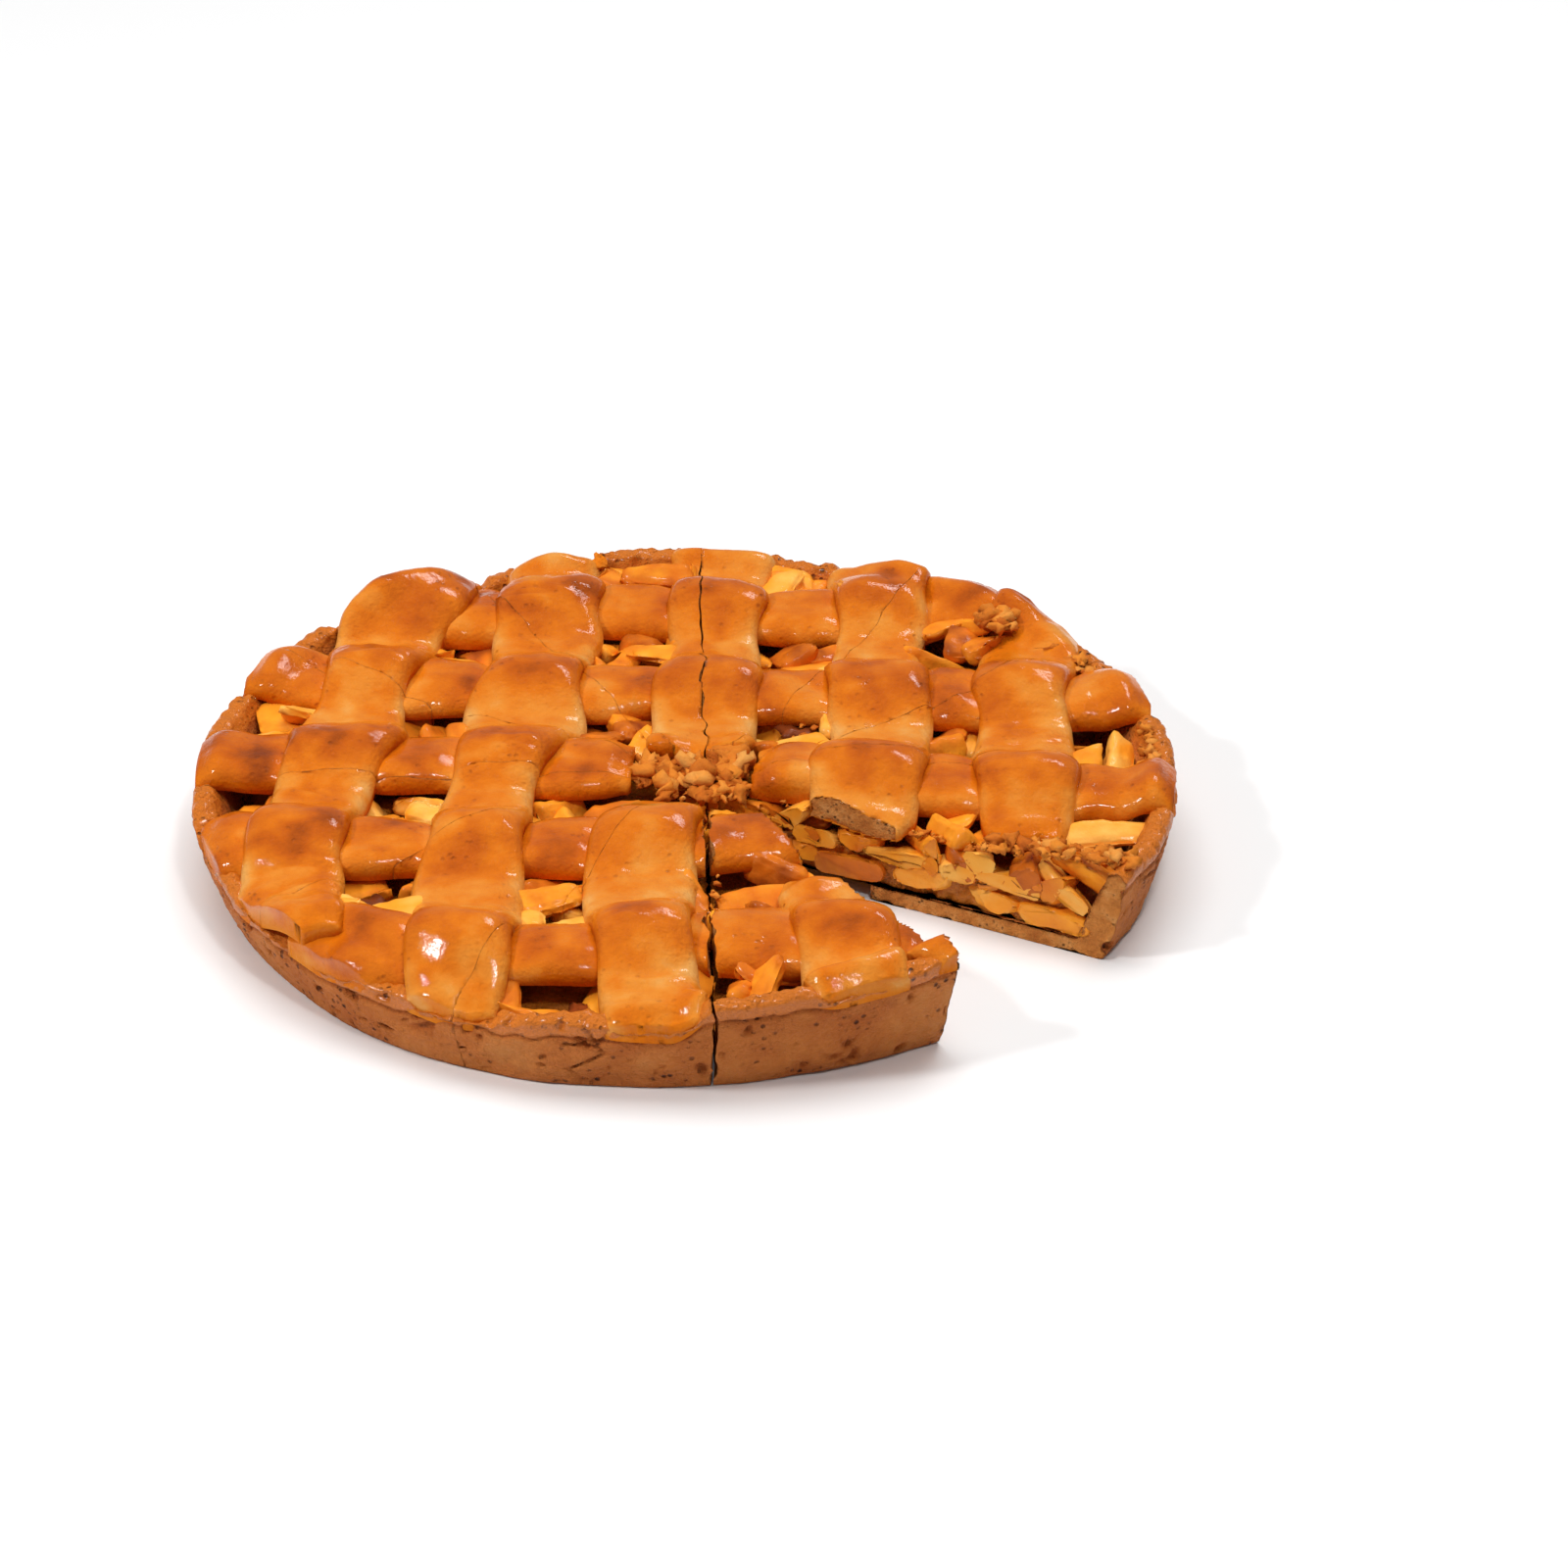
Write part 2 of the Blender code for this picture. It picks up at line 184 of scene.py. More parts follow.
# The two planes of a slice: its cut's number, a point on it, and the normal that points out of the slice
def cutPlanes(index, layer):
    planes = []
    for cut, side in ((index, 1), (index + 1, -1)):
        cut %= pie["sliceCount"]
        turn = math.radians(pie["firstCut"] + cut * 360 / pie["sliceCount"])
        width = cuts[layer].get(cut, cuts[layer]["usual"])
        inward = Vector((-math.sin(turn), math.cos(turn), 0)) * side
        planes.append((cut, Vector((*pie["cutCentre"], 0)) + inward * width / 2, -inward))
    return planes


def isOpenCut(cut):
    return cut in (pie["gapPlace"], (pie["gapPlace"] + 1) % pie["sliceCount"])


# Halves the chosen edges until none is longer than asked
def shortened(bm, longest, chosen):
    while long := [edge for edge in chosen() if edge.calc_length() > longest]:
        bmesh.ops.subdivide_edges(bm, edges=long, cuts=1)


# Gives a wide cut face a fine mesh and the broken relief of what it cuts through
def crumbledFace(bm, faces, point, outward, finish):
    rimEdges = {edge for face in faces for edge in face.edges}
    rimVertices = {vertex for edge in rimEdges for vertex in edge.verts}

    def faceParts():
        near = {vertex for vertex in bm.verts if abs((vertex.co - point).dot(outward)) < 1e-3}
        return near, [face for face in bm.faces if near.issuperset(face.verts)]

    bmesh.ops.triangulate(bm, faces=faces)
    near, cap = faceParts()
    for _ in range(8):
        long = {edge for face in cap for edge in face.edges if edge.calc_length() > finish["mesh"]} - rimEdges
        if not long:
            break
        bmesh.ops.subdivide_edges(bm, edges=list(long), cuts=1)
        near, cap = faceParts()
        bmesh.ops.triangulate(bm, faces=[face for face in cap if len(face.verts) > 3])
        near, cap = faceParts()
    for vertex in near - rimVertices:
        relief = roughness3d(vertex.co, finish["size"], 51)
        relief += 0.6 * roughness3d(vertex.co, finish["size"] / 2.6, 52)
        vertex.co -= outward * finish["depth"] * max(finish["least"], 0.6 + 0.6 * relief)
    return cap


# Keeps what lies in one slice, closes its cut faces and tears their edges a little
def cutSlice(bm, index, layer, faceMaterial=1, finish=None):
    planes = cutPlanes(index, layer)
    places = positions(bm)
    away = np.max([(places - np.array(point)) @ np.array(outward) for _, point, outward in planes], axis=0)
    lost = [vertex for vertex, distance in zip(bm.verts, away) if distance > cuts["spare"]]
    if len(lost) == len(bm.verts) or away.min() > 0:
        bm.clear()
        return bm
    bmesh.ops.delete(bm, geom=lost, context="VERTS")
    for cut, point, outward in planes:
        geometry = bm.verts[:] + bm.edges[:] + bm.faces[:]
        done = bmesh.ops.bisect_plane(
            bm, geom=geometry, dist=1e-4, plane_co=point, plane_no=outward, clear_outer=True
        )
        touching = [part for part in done["geom_cut"] if isinstance(part, bmesh.types.BMVert)]
        bmesh.ops.remove_doubles(bm, verts=touching, dist=0.01)
        if finish and isOpenCut(cut):
            shortened(bm, finish["mesh"], lambda: [edge for edge in bm.edges if edge.is_boundary])
        rim = [edge for edge in bm.edges if edge.is_boundary]
        if not rim:
            continue
        faces = bmesh.ops.holes_fill(bm, edges=rim, sides=0)["faces"]
        bare = [edge for edge in rim if edge.is_boundary]
        if bare:
            more = bmesh.ops.triangle_fill(bm, edges=bare, use_dissolve=False)["geom"]
            faces += [part for part in more if isinstance(part, bmesh.types.BMFace)]
        for edge in rim:
            edge.smooth = False
        if finish and isOpenCut(cut):
            faces = crumbledFace(bm, faces, point, outward, finish)
        for face in faces:
            face.material_index = faceMaterial
        for vertex in {vertex for edge in rim if edge.is_valid for vertex in edge.verts}:
            torn = abs(roughness3d(vertex.co, cuts["tearSize"], 61)) * smoothStep(vertex.co.z / 2)
            vertex.co -= outward * cuts["tear"].get(cut, cuts["tear"]["usual"]) * 2 * torn
            across = outward if cut == index else -outward
            wave = cuts["wave"].get(cut, cuts["wave"]["usual"])
            vertex.co += across * wave * roughness3d(vertex.co, cuts["waveSize"], 62)
    return bm


# Distance from points to the nearest of several centre lines
def nearestRoute(x, y, routes):
    nearest = np.full(np.shape(x), 1e9)
    for route in routes:
        a, b = route[:-1], route[1:]
        run = b - a
        for start, step in zip(a, run):
            share = ((x - start[0]) * step[0] + (y - start[1]) * step[1]) / (step @ step)
            share = np.clip(share, 0, 1)
            away = np.hypot(x - start[0] - share * step[0], y - start[1] - share * step[1])
            nearest = np.minimum(nearest, away)
    return nearest


# Shader nodes that the finishes share

def groupOf(name, inputs, outputs):
    made = bpy.data.node_groups.new(name, "ShaderNodeTree")
    for socket, kind, value in inputs:
        made.interface.new_socket(socket, in_out="INPUT", socket_type=kind).default_value = value
    for socket, kind in outputs:
        made.interface.new_socket(socket, in_out="OUTPUT", socket_type=kind)
    return made, made.nodes.new("NodeGroupInput"), made.nodes.new("NodeGroupOutput")


def addNode(tree, kind, **settings):
    made = tree.nodes.new(kind)
    for key, value in settings.items():
        if key in made.bl_rna.properties:
            setattr(made, key, value)
        else:
            made.inputs[key.replace("_", " ")].default_value = value
    return made


# A colour from a ramp of stops that a level runs along
def rampColour(tree, level, stops):
    made = tree.nodes.new("ShaderNodeValToRGB")
    tree.links.new(level, made.inputs[0])
    points = made.color_ramp.elements
    while len(points) < len(stops):
        points.new(0.5)
    for point, (place, colour) in zip(points, stops):
        point.position = place
        point.color = (*colour, 1)
    return made.outputs[0]


# A math node of two values, each a socket or a number
def mathNode(tree, operation, first, second, clamp=False):
    made = tree.nodes.new("ShaderNodeMath")
    made.operation = operation
    made.use_clamp = clamp
    for socket, value in zip(made.inputs, (first, second)):
        if isinstance(value, (int, float)):
            socket.default_value = value
        else:
            tree.links.new(value, socket)
    return made.outputs[0]


# Fine baked grain: a height for the bump and a mask of small dark specks
def doughGrain():
    tree, given, out = groupOf(
        "doughGrain",
        [("Scale", "NodeSocketFloat", 1.0), ("Pits", "NodeSocketFloat", 0.5)],
        [("Height", "NodeSocketFloat"), ("Specks", "NodeSocketFloat"), ("Mottle", "NodeSocketFloat")],
    )
    place = tree.nodes.new("ShaderNodeTexCoord").outputs["Object"]
    scaled = tree.nodes.new("ShaderNodeVectorMath")
    scaled.operation = "SCALE"
    tree.links.new(place, scaled.inputs[0])
    tree.links.new(given.outputs["Scale"], scaled.inputs["Scale"])
    spot = scaled.outputs[0]
    grain = addNode(tree, "ShaderNodeTexNoise", Scale=900.0, Detail=4.0, Roughness=0.6)
    mottle = addNode(tree, "ShaderNodeTexNoise", Scale=90.0, Detail=5.0, Roughness=0.62)
    pits = addNode(tree, "ShaderNodeTexVoronoi", Scale=420.0, Randomness=1.0)
    for texture in (grain, mottle, pits):
        tree.links.new(spot, texture.inputs["Vector"])
    pit = addNode(tree, "ShaderNodeMapRange", From_Min=0.05, From_Max=0.3, To_Min=1.0, To_Max=0.0)
    tree.links.new(pits.outputs["Distance"], pit.inputs["Value"])
    rare = addNode(tree, "ShaderNodeMapRange", From_Min=0.5, From_Max=0.62)
    tree.links.new(mottle.outputs["Fac"], rare.inputs["Value"])
    specks = mathNode(tree, "MULTIPLY", pit.outputs[0], rare.outputs[0])
    specks = mathNode(tree, "MULTIPLY", specks, given.outputs["Pits"], clamp=True)
    height = mathNode(tree, "MULTIPLY_ADD", grain.outputs["Fac"], 0.5)
    tree.links.new(mottle.outputs["Fac"], height.node.inputs[2])
    height = mathNode(tree, "SUBTRACT", height, specks)
    tree.links.new(height, out.inputs["Height"])
    tree.links.new(specks, out.inputs["Specks"])
    tree.links.new(mottle.outputs["Fac"], out.inputs["Mottle"])
    return tree


grainGroup = doughGrain()


def newMaterial(name, **values):
    made = bpy.data.materials.new(name)
    made.use_nodes = True
    shader = made.node_tree.nodes["Principled BSDF"]
    for key, value in values.items():
        shader.inputs[key.replace("_", " ")].default_value = value
    return made, made.node_tree, shader


def addGrain(tree, scale=1.0, pits=0.5):
    made = tree.nodes.new("ShaderNodeGroup")
    made.node_tree = grainGroup
    made.inputs["Scale"].default_value = scale
    made.inputs["Pits"].default_value = pits
    return made


def attribute(tree, name):
    made = tree.nodes.new("ShaderNodeAttribute")
    made.attribute_name = name
    return made.outputs["Fac"]


# A vertex attribute, swung up and down by the grain's mottle and kept from 0 to 1
def mottledLevel(tree, grain, name, swing):
    swung = mathNode(tree, "MULTIPLY_ADD", grain.outputs["Mottle"], swing)
    swung.node.inputs[2].default_value = -swing / 2
    return mathNode(tree, "ADD", attribute(tree, name), swung, clamp=True)


def bump(tree, shader, height, strength, distance, socket="Normal"):
    made = addNode(tree, "ShaderNodeBump", Strength=strength, Distance=distance)
    tree.links.new(height, made.inputs["Height"])
    tree.links.new(made.outputs[0], shader.inputs[socket])


# Mixes a colour towards a dark one where a mask says
def darkened(tree, colour, mask, darkColour, amount):
    mixed = tree.nodes.new("ShaderNodeMix")
    mixed.data_type = "RGBA"
    tree.links.new(mathNode(tree, "MULTIPLY", mask, amount, clamp=True), mixed.inputs[0])
    tree.links.new(colour, mixed.inputs[6])
    mixed.inputs[7].default_value = (*darkColour, 1)
    return mixed.outputs[2]


# Egg-washed pastry: pale in the folds, golden on the slopes, brown on the crowns
def glazedPastry():
    made, tree, shader = newMaterial(
        "glazedPastry", Roughness=0.55, Specular_IOR_Level=0.05, Coat_Roughness=0.08
    )
    grain = addGrain(tree, 0.8, 0.5)
    coat = mathNode(tree, "MULTIPLY", attribute(tree, "glaze"), 0.8, clamp=True)
    tree.links.new(coat, shader.inputs["Coat Weight"])
    colour = rampColour(tree, mottledLevel(tree, grain, "toastAndShade", 0.9), (
        (0.0, (0.76, 0.36, 0.085)),
        (0.22, (0.74, 0.25, 0.026)),
        (0.45, (0.68, 0.165, 0.004)),
        (0.7, (0.52, 0.1, 0.002)),
        (1.0, (0.22, 0.036, 0.002)),
    ))
    colour = darkened(tree, colour, grain.outputs["Specks"], (0.16, 0.04, 0.01), 0.5)
    tree.links.new(colour, shader.inputs["Base Color"])
    bump(tree, shader, grain.outputs["Height"], 0.9, 0.0011)
    bump(tree, shader, grain.outputs["Height"], 0.3, 0.0006, "Coat Normal")
    return made


# The dry outside of the crust: matt brown, mottled, pitted
def bakedWall():
    made, tree, shader = newMaterial("bakedWall", Roughness=0.72, Specular_IOR_Level=0.25, Coat_Roughness=0.2)
    coat = mathNode(tree, "MULTIPLY", attribute(tree, "lip"), 0.5, clamp=True)
    tree.links.new(coat, shader.inputs["Coat Weight"])
    grain = addGrain(tree, 0.9, 1.0)
    # Browning level from the piece's attribute; on the crust it also holds painted shade in the cracks, pits
    # and fold groove
    colour = rampColour(tree, mottledLevel(tree, grain, "toastAndShade", 0.9), (
        (0.0, (0.68, 0.28, 0.075)),
        (0.35, (0.62, 0.19, 0.036)),
        (0.65, (0.48, 0.118, 0.017)),
        (1.0, (0.14, 0.03, 0.006)),
    ))
    colour = darkened(tree, colour, attribute(tree, "lip"), (0.7, 0.18, 0.01), 0.85)
    colour = darkened(tree, colour, grain.outputs["Specks"], (0.07, 0.02, 0.008), 0.9)
    tree.links.new(colour, shader.inputs["Base Color"])
    bump(tree, shader, grain.outputs["Height"], 1.0, 0.0032)
    return made


# Fresh pastry where it was cut or broken
def paleCrumb():
    made, tree, shader = newMaterial("paleCrumb", Roughness=0.8, Specular_IOR_Level=0.2)
    grain = addGrain(tree, 1.4, 1.0)
    colour = rampColour(tree, grain.outputs["Mottle"], (
        (0.3, (0.46, 0.14, 0.025)),
        (0.5, (0.7, 0.26, 0.055)),
        (0.7, (0.82, 0.39, 0.12)),
    ))
    colour = darkened(tree, colour, grain.outputs["Specks"], (0.2, 0.07, 0.02), 0.9)
    tree.links.new(colour, shader.inputs["Base Color"])
    bump(tree, shader, grain.outputs["Height"], 1.0, 0.0024)
    return made


# Crumbs: some pale inside, some with browned skin
def brokenPastry():
    made, tree, shader = newMaterial("brokenPastry", Roughness=0.7, Specular_IOR_Level=0.25)
    grain = addGrain(tree, 1.2, 0.6)
    colour = rampColour(tree, mottledLevel(tree, grain, "toastAndShade", 0.8), (
        (0.0, (0.76, 0.37, 0.09)),
        (0.4, (0.72, 0.23, 0.022)),
        (1.0, (0.5, 0.11, 0.007)),
    ))
    tree.links.new(colour, shader.inputs["Base Color"])
    bump(tree, shader, grain.outputs["Height"], 0.8, 0.0008)
    return made


# Cooked apple: moist, from yellow to amber, with soft fibres
def appleFlesh():
    made, tree, shader = newMaterial(
        "appleFlesh", Roughness=0.5, Specular_IOR_Level=0.12, Coat_Weight=0.3, Coat_Roughness=0.15
    )
    grain = addGrain(tree, 0.55, 0.2)
    colour = rampColour(tree, mottledLevel(tree, grain, "tone", 0.8), (
        (0.0, (0.94, 0.49, 0.095)),
        (0.3, (0.93, 0.335, 0.02)),
        (0.65, (0.7, 0.17, 0.009)),
        (1.0, (0.26, 0.045, 0.007)),
    ))
    tree.links.new(colour, shader.inputs["Base Color"])
    bump(tree, shader, grain.outputs["Height"], 0.6, 0.0009)
    return made


# The thick juice between the apple pieces
def darkJam():
    made, tree, shader = newMaterial(
        "darkJam", Roughness=0.5, Specular_IOR_Level=0.2, Coat_Weight=0.2, Coat_Roughness=0.25
    )
    grain = addGrain(tree, 1.0, 0.5)
    colour = rampColour(tree, mottledLevel(tree, grain, "tone", 1.0), (
        (0.0, (0.8, 0.33, 0.03)),
        (0.4, (0.6, 0.18, 0.012)),
        (1.0, (0.16, 0.033, 0.004)),
    ))
    tree.links.new(colour, shader.inputs["Base Color"])
    bump(tree, shader, grain.outputs["Height"], 1.0, 0.0026)
    return made


# Very dark skin for the raisins, which stand in as painted shade in the holes between the strips
def shadeRaisinSkin():
    made, tree, shader = newMaterial(
        "shadeRaisinSkin", Roughness=0.45, Specular_IOR_Level=0.25, Coat_Weight=0.15, Coat_Roughness=0.25
    )
    grain = addGrain(tree, 0.8, 0.2)
    stops = ((0.3, (0.08, 0.016, 0.004)), (0.7, (0.27, 0.05, 0.008)))
    colour = rampColour(tree, grain.outputs["Mottle"], stops)
    tree.links.new(colour, shader.inputs["Base Color"])
    bump(tree, shader, grain.outputs["Height"], 0.6, 0.0006)
    return made


glazed = glazedPastry()
wallFinish = bakedWall()
crumb = paleCrumb()
crumbFinish = brokenPastry()
apple = appleFlesh()
jam = darkJam()
shadeRaisin = shadeRaisinSkin()
tell("finishes ready")


# The strips of the lattice: where they run and how they lie

lattice = {
    "width": 28.5,
    "thickness": 7.6,
    "mesh": 1.15,
    "shoulder": 20.5,
    "crossingSink": 1.2,
    "sag": 1.6,
    "rimLedge": 9,
    "ledgeInset": 7,
    "rimInlay": 3,
    "droop": 2,
    "trimRadius": 139.6,
    "reachesRim": 121,
    "edgeWaver": 1.8,
    "widthSwing": 0.13,
    "swell": (1.3, 0.45),
    # Where the dough wrinkled or flaked: x, y, radius
    "wrinkled": (
        (99, 28, 15), (-110, -8, 12), (-47, 3, 12), (-108, -66, 18), (-47, 97, 12), (-90, 66, 16),
        (-9, -128, 14),
    ),
    # Where it stands up or is dented: x, y, radius, height
    "lifted": (
        (30, -12, 13, 2.4), (37, -66, 7, 2.5), (-47, 92, 20, 1.2), (-85, 92, 12, 1.5), (99, 62, 16, 1.4),
        (-11, -100, 22, 1.2), (45, -92, 22, 1.2), (56, 48, 9, -1.5), (80, -108, 13, -3.2),
    ),
    "rows": {
        "row1": ((-84, 99), (-50, 101), (-18, 104), (30, 99), (68, 106), (94, 102)),
        "row2": ((-125, 58), (-90, 56), (-50, 52), (0, 51), (50, 48), (95, 46), (128, 44)),
        "row3Left": ((-135, 7), (-98, 8), (-60, 6), (-15, 4)),
        "row3Right": ((20, 3), (50, -2), (85, -8), (132, -13)),
        "row4": ((-133, -39), (-105, -42), (-60, -44), (-20, -43), (33, -37)),
        "row5": ((-104, -92), (-70, -99), (-30, -103), (10, -97), (60, -101), (82, -108)),
    },
    "columns": {
        "column1": ((-77, 113), (-85, 92), (-92, 62), (-97, 20), (-105, -25), (-109, -60), (-106, -84)),
        "column2": ((-41, 130), (-42, 95), (-44, 60), (-48, 25), (-55, -10), (-58, -50), (-60, -122)),
        "column3Back": ((10, 134), (8, 105), (7, 70), (5, 40), (4, 10)),
        "column3Front": ((-5, -18), (-11, -45), (-11, -80), (-9, -110), (-6, -136)),
        "column4Back": ((57, 122), (57, 95), (55, 60), (56, 25), (52, -10), (50, -32)),
        "column4Front": ((39, -62), (43, -85), (46, -110), (48, -127)),
        "column5": ((103, 88), (99, 62), (97, 30), (97, 0), (96, -38)),
    },
}


# A strip's end, carried on to the rim's outer edge where it comes near it
def onTheRim(end, before):
    if np.hypot(*end) < lattice["reachesRim"]:
        return end
    onwards = (end - before) / np.hypot(*(end - before))
    while np.hypot(*end) < pie["rimRadius"] + 1:
        end = end + onwards
    return end


# Evenly spread points on a smooth curve through a strip's own points
def smoothRoute(points, step=1.0):
    points = np.array(points, float)
    points[0], points[-1] = onTheRim(points[0], points[1]), onTheRim(points[-1], points[-2])
    ends = np.vstack([2 * points[0] - points[1], points, 2 * points[-1] - points[-2]])
    found = []
    for a, b, c, d in zip(ends, ends[1:], ends[2:], ends[3:]):
        count = max(2, round(np.hypot(*(c - b)) / step))
        for i in range(count):
            t = i / count
            curve = (2 * a - 5 * b + 4 * c - d) * t**2 + (3 * b - a - 3 * c + d) * t**3
            found.append(0.5 * (2 * b + (c - a) * t + curve))
    return np.array([*found, points[-1]])


routes = {name: smoothRoute(points) for name, points in {**lattice["rows"], **lattice["columns"]}.items()}
rowRoutes = [route[::6] for name, route in routes.items() if name in lattice["rows"]]
columnRoutes = [route[::6] for name, route in routes.items() if name in lattice["columns"]]


# Crust: floor, wall and rim, turned once round and then cut

crust = {
    "turns": 1080,
    "plainHeight": 25,  # before the wall is drawn up or down to the rim's own height
    "wallRows": 34,
    "rimRows": 9,
    "innerRows": 12,
    "middle": 60,
    "floorRows": 9,
    "pitDepth": 1.8,
    "crackDepth": 1.3,
    "foldDrop": 5.5,  # the rim was folded over: a groove runs this far below its top
    "foldDepth": 0.8,
    "foldWidth": 0.55,
    # The broken relief of a gap face: mesh width, size of its lumps, depth and least share of the depth
    "cutFace": {"mesh": 1.1, "size": 3.0, "depth": 1.1, "least": 0.1},
}


# Points of the section from the base's middle out, up the wall, over the rim and back in
def crustProfile():
    foot, rim, top = pie["footRadius"], pie["rimRadius"], crust["plainHeight"]
    thick, floor = pie["rimThickness"], pie["floorThickness"]
    reach = [i / crust["floorRows"] for i in range(crust["floorRows"])]
    section = [(crust["middle"] + (foot - 4 - crust["middle"]) * share, 0) for share in reach]
    section += [(foot - 1.5, 0.0), (foot - 0.5, 0.5), (foot, 1.5)]
    for i in range(1, crust["wallRows"]):
        up = i / crust["wallRows"]
        section.append((foot + (rim - foot) * up + 0.9 * math.sin(math.pi * up), 1.5 + (top - 3) * up))
    for i in range(crust["rimRows"]):
        turn = math.pi * i / (crust["rimRows"] - 1)
        section.append((rim - thick / 2 + math.cos(turn) * thick / 2, top - 2 + 2.2 * math.sin(turn)))
    inner = foot - 9
    for i in range(1, crust["innerRows"]):
        down = i / crust["innerRows"]
        section.append((rim - thick + (inner - rim + thick) * down, top - 2 + (floor - top + 2) * down))
    section += [(inner + (crust["middle"] - inner) * share, floor) for share in reach]
    section.append((crust["middle"], floor))
    return section


def wholeCrust():
    bm = revolved(crustProfile(), crust["turns"])
    places = positions(bm)
    x, y, z = places.T
    radius = np.hypot(x, y)
    rim = rimHeight(x, y)
    turn = np.degrees(np.arctan2(y, x))
    foot = stationValue(pie["footStations"], turn)
    notch = 1 - smoothStep((nearestRoute(x, y, rowRoutes + columnRoutes) - 10) / 4)
    outside = smoothStep((radius - 122) / 8)
    up = np.clip(z / crust["plainHeight"], 0, 1)
    tall = 1 + (rim / crust["plainHeight"] - 1) * outside * np.clip((z - 4) / 6, 0, 1)
    spread = 1 + outside * (foot - pie["footRadius"]) / 135 * (1 - up)
    toastAndShade = np.full(len(places), 0.42)
    lip = np.zeros(len(places))
    moved = places.copy()
    for i, place in enumerate(places):
        edge = outside[i]
        if not edge:
            continue
        lift = max(0.0, (up[i] - 0.82) / 0.18) * edge
        hold = smoothStep(z[i] / 1.5) * edge
        bulge = 0.9 * roughness3d(place, 26, 3) + 0.5 * roughness3d(place, 9, 5)
        bulge += 0.35 * roughness3d(place, 3, 7) + 0.22 * roughness3d(place, 1.5, 8)
        cell = noise.voronoi(Vector(place / 11.0))[0]
        crack = math.exp(-(((cell[1] - cell[0]) / 0.05) ** 2)) * max(0, roughness3d(place, 17, 9) - 0.12) * 3
        pit = max(0.0, roughness3d(place, 4.2, 21) - 0.42) * 5
        below = (x[i], y[i], 0)
        foldLine = crust["foldDrop"] + 2.2 * roughness3d(below, 24, 17) + roughness3d(below, 5, 18)
        fromTop = rim[i] - z[i] * tall[i]
        groove = math.exp(-(((fromTop - foldLine) / crust["foldWidth"]) ** 2))
        lip[i] = smoothStep((foldLine - fromTop) / 1.5)
        depth = crust["crackDepth"] * min(crack, 1) + crust["pitDepth"] * min(pit, 1)
        depth += crust["foldDepth"] * groove
        flake = abs(roughness3d(place, 5, 13)) * 2.4 - 0.7 + roughness3d(place, 2.1, 14) * 0.8
        outward = (bulge - depth) * hold * (1 if radius[i] > 134 - 3 * (1 - up[i]) else 0.5)
        scale = spread[i] * (1 + outward / max(radius[i], 1)) if radius[i] > 100 else 1
        press = lattice["rimInlay"] * 1.1 * notch[i] * lift
        moved[i] = (x[i] * scale, y[i] * scale, z[i] * tall[i] + flake * lift * 0.9 - press)
        # Browning that varies at random, plus painted shade: darker in the cracks, pits and fold groove; a
        # little paler near the top of the wall
        toastAndShade[i] = 0.42 + 0.3 * min(crack + pit + groove, 1) + 0.2 * roughness3d(place, 30, 31) - 0.1 * lift
    setPositions(bm, moved)
    paint(bm, "toastAndShade", toastAndShade)
    paint(bm, "lip", lip)
    return bm


wholeWall = wholeCrust()
for number, index in enumerate(slices, 1):
    crustSlice = cutSlice(wholeWall.copy(), index, "crust", finish=crust["cutFace"])
    nodes = [f"crust_{number:02d}"]
    meshPiece(f"crustSlice{number:02d}", crustSlice, (wallFinish, crumb), nodes)
wholeWall.free()
tell("crust ready")


# Lattice: five lower strips along X and five upper ones along Y, three of the ten in two parts

# The height that the lower strips lie on, up to where they are pressed into the rim
def stripSupport(x, y):
    inside = np.hypot(x, y) - pie["rimRadius"] + lattice["ledgeInset"]
    onRim = smoothStep((inside + lattice["rimLedge"]) / lattice["rimLedge"])
    heap = pie["heapHeight"] + 0.8
    return heap + (rimHeight(x, y) - lattice["rimInlay"] - heap) * onRim


# How strongly a marked spot works on a point: 1 in its middle, fading over its radius
def nearness(x, y, spotX, spotY, radius):
    return math.exp(-((x - spotX) ** 2 + (y - spotY) ** 2) / radius**2)


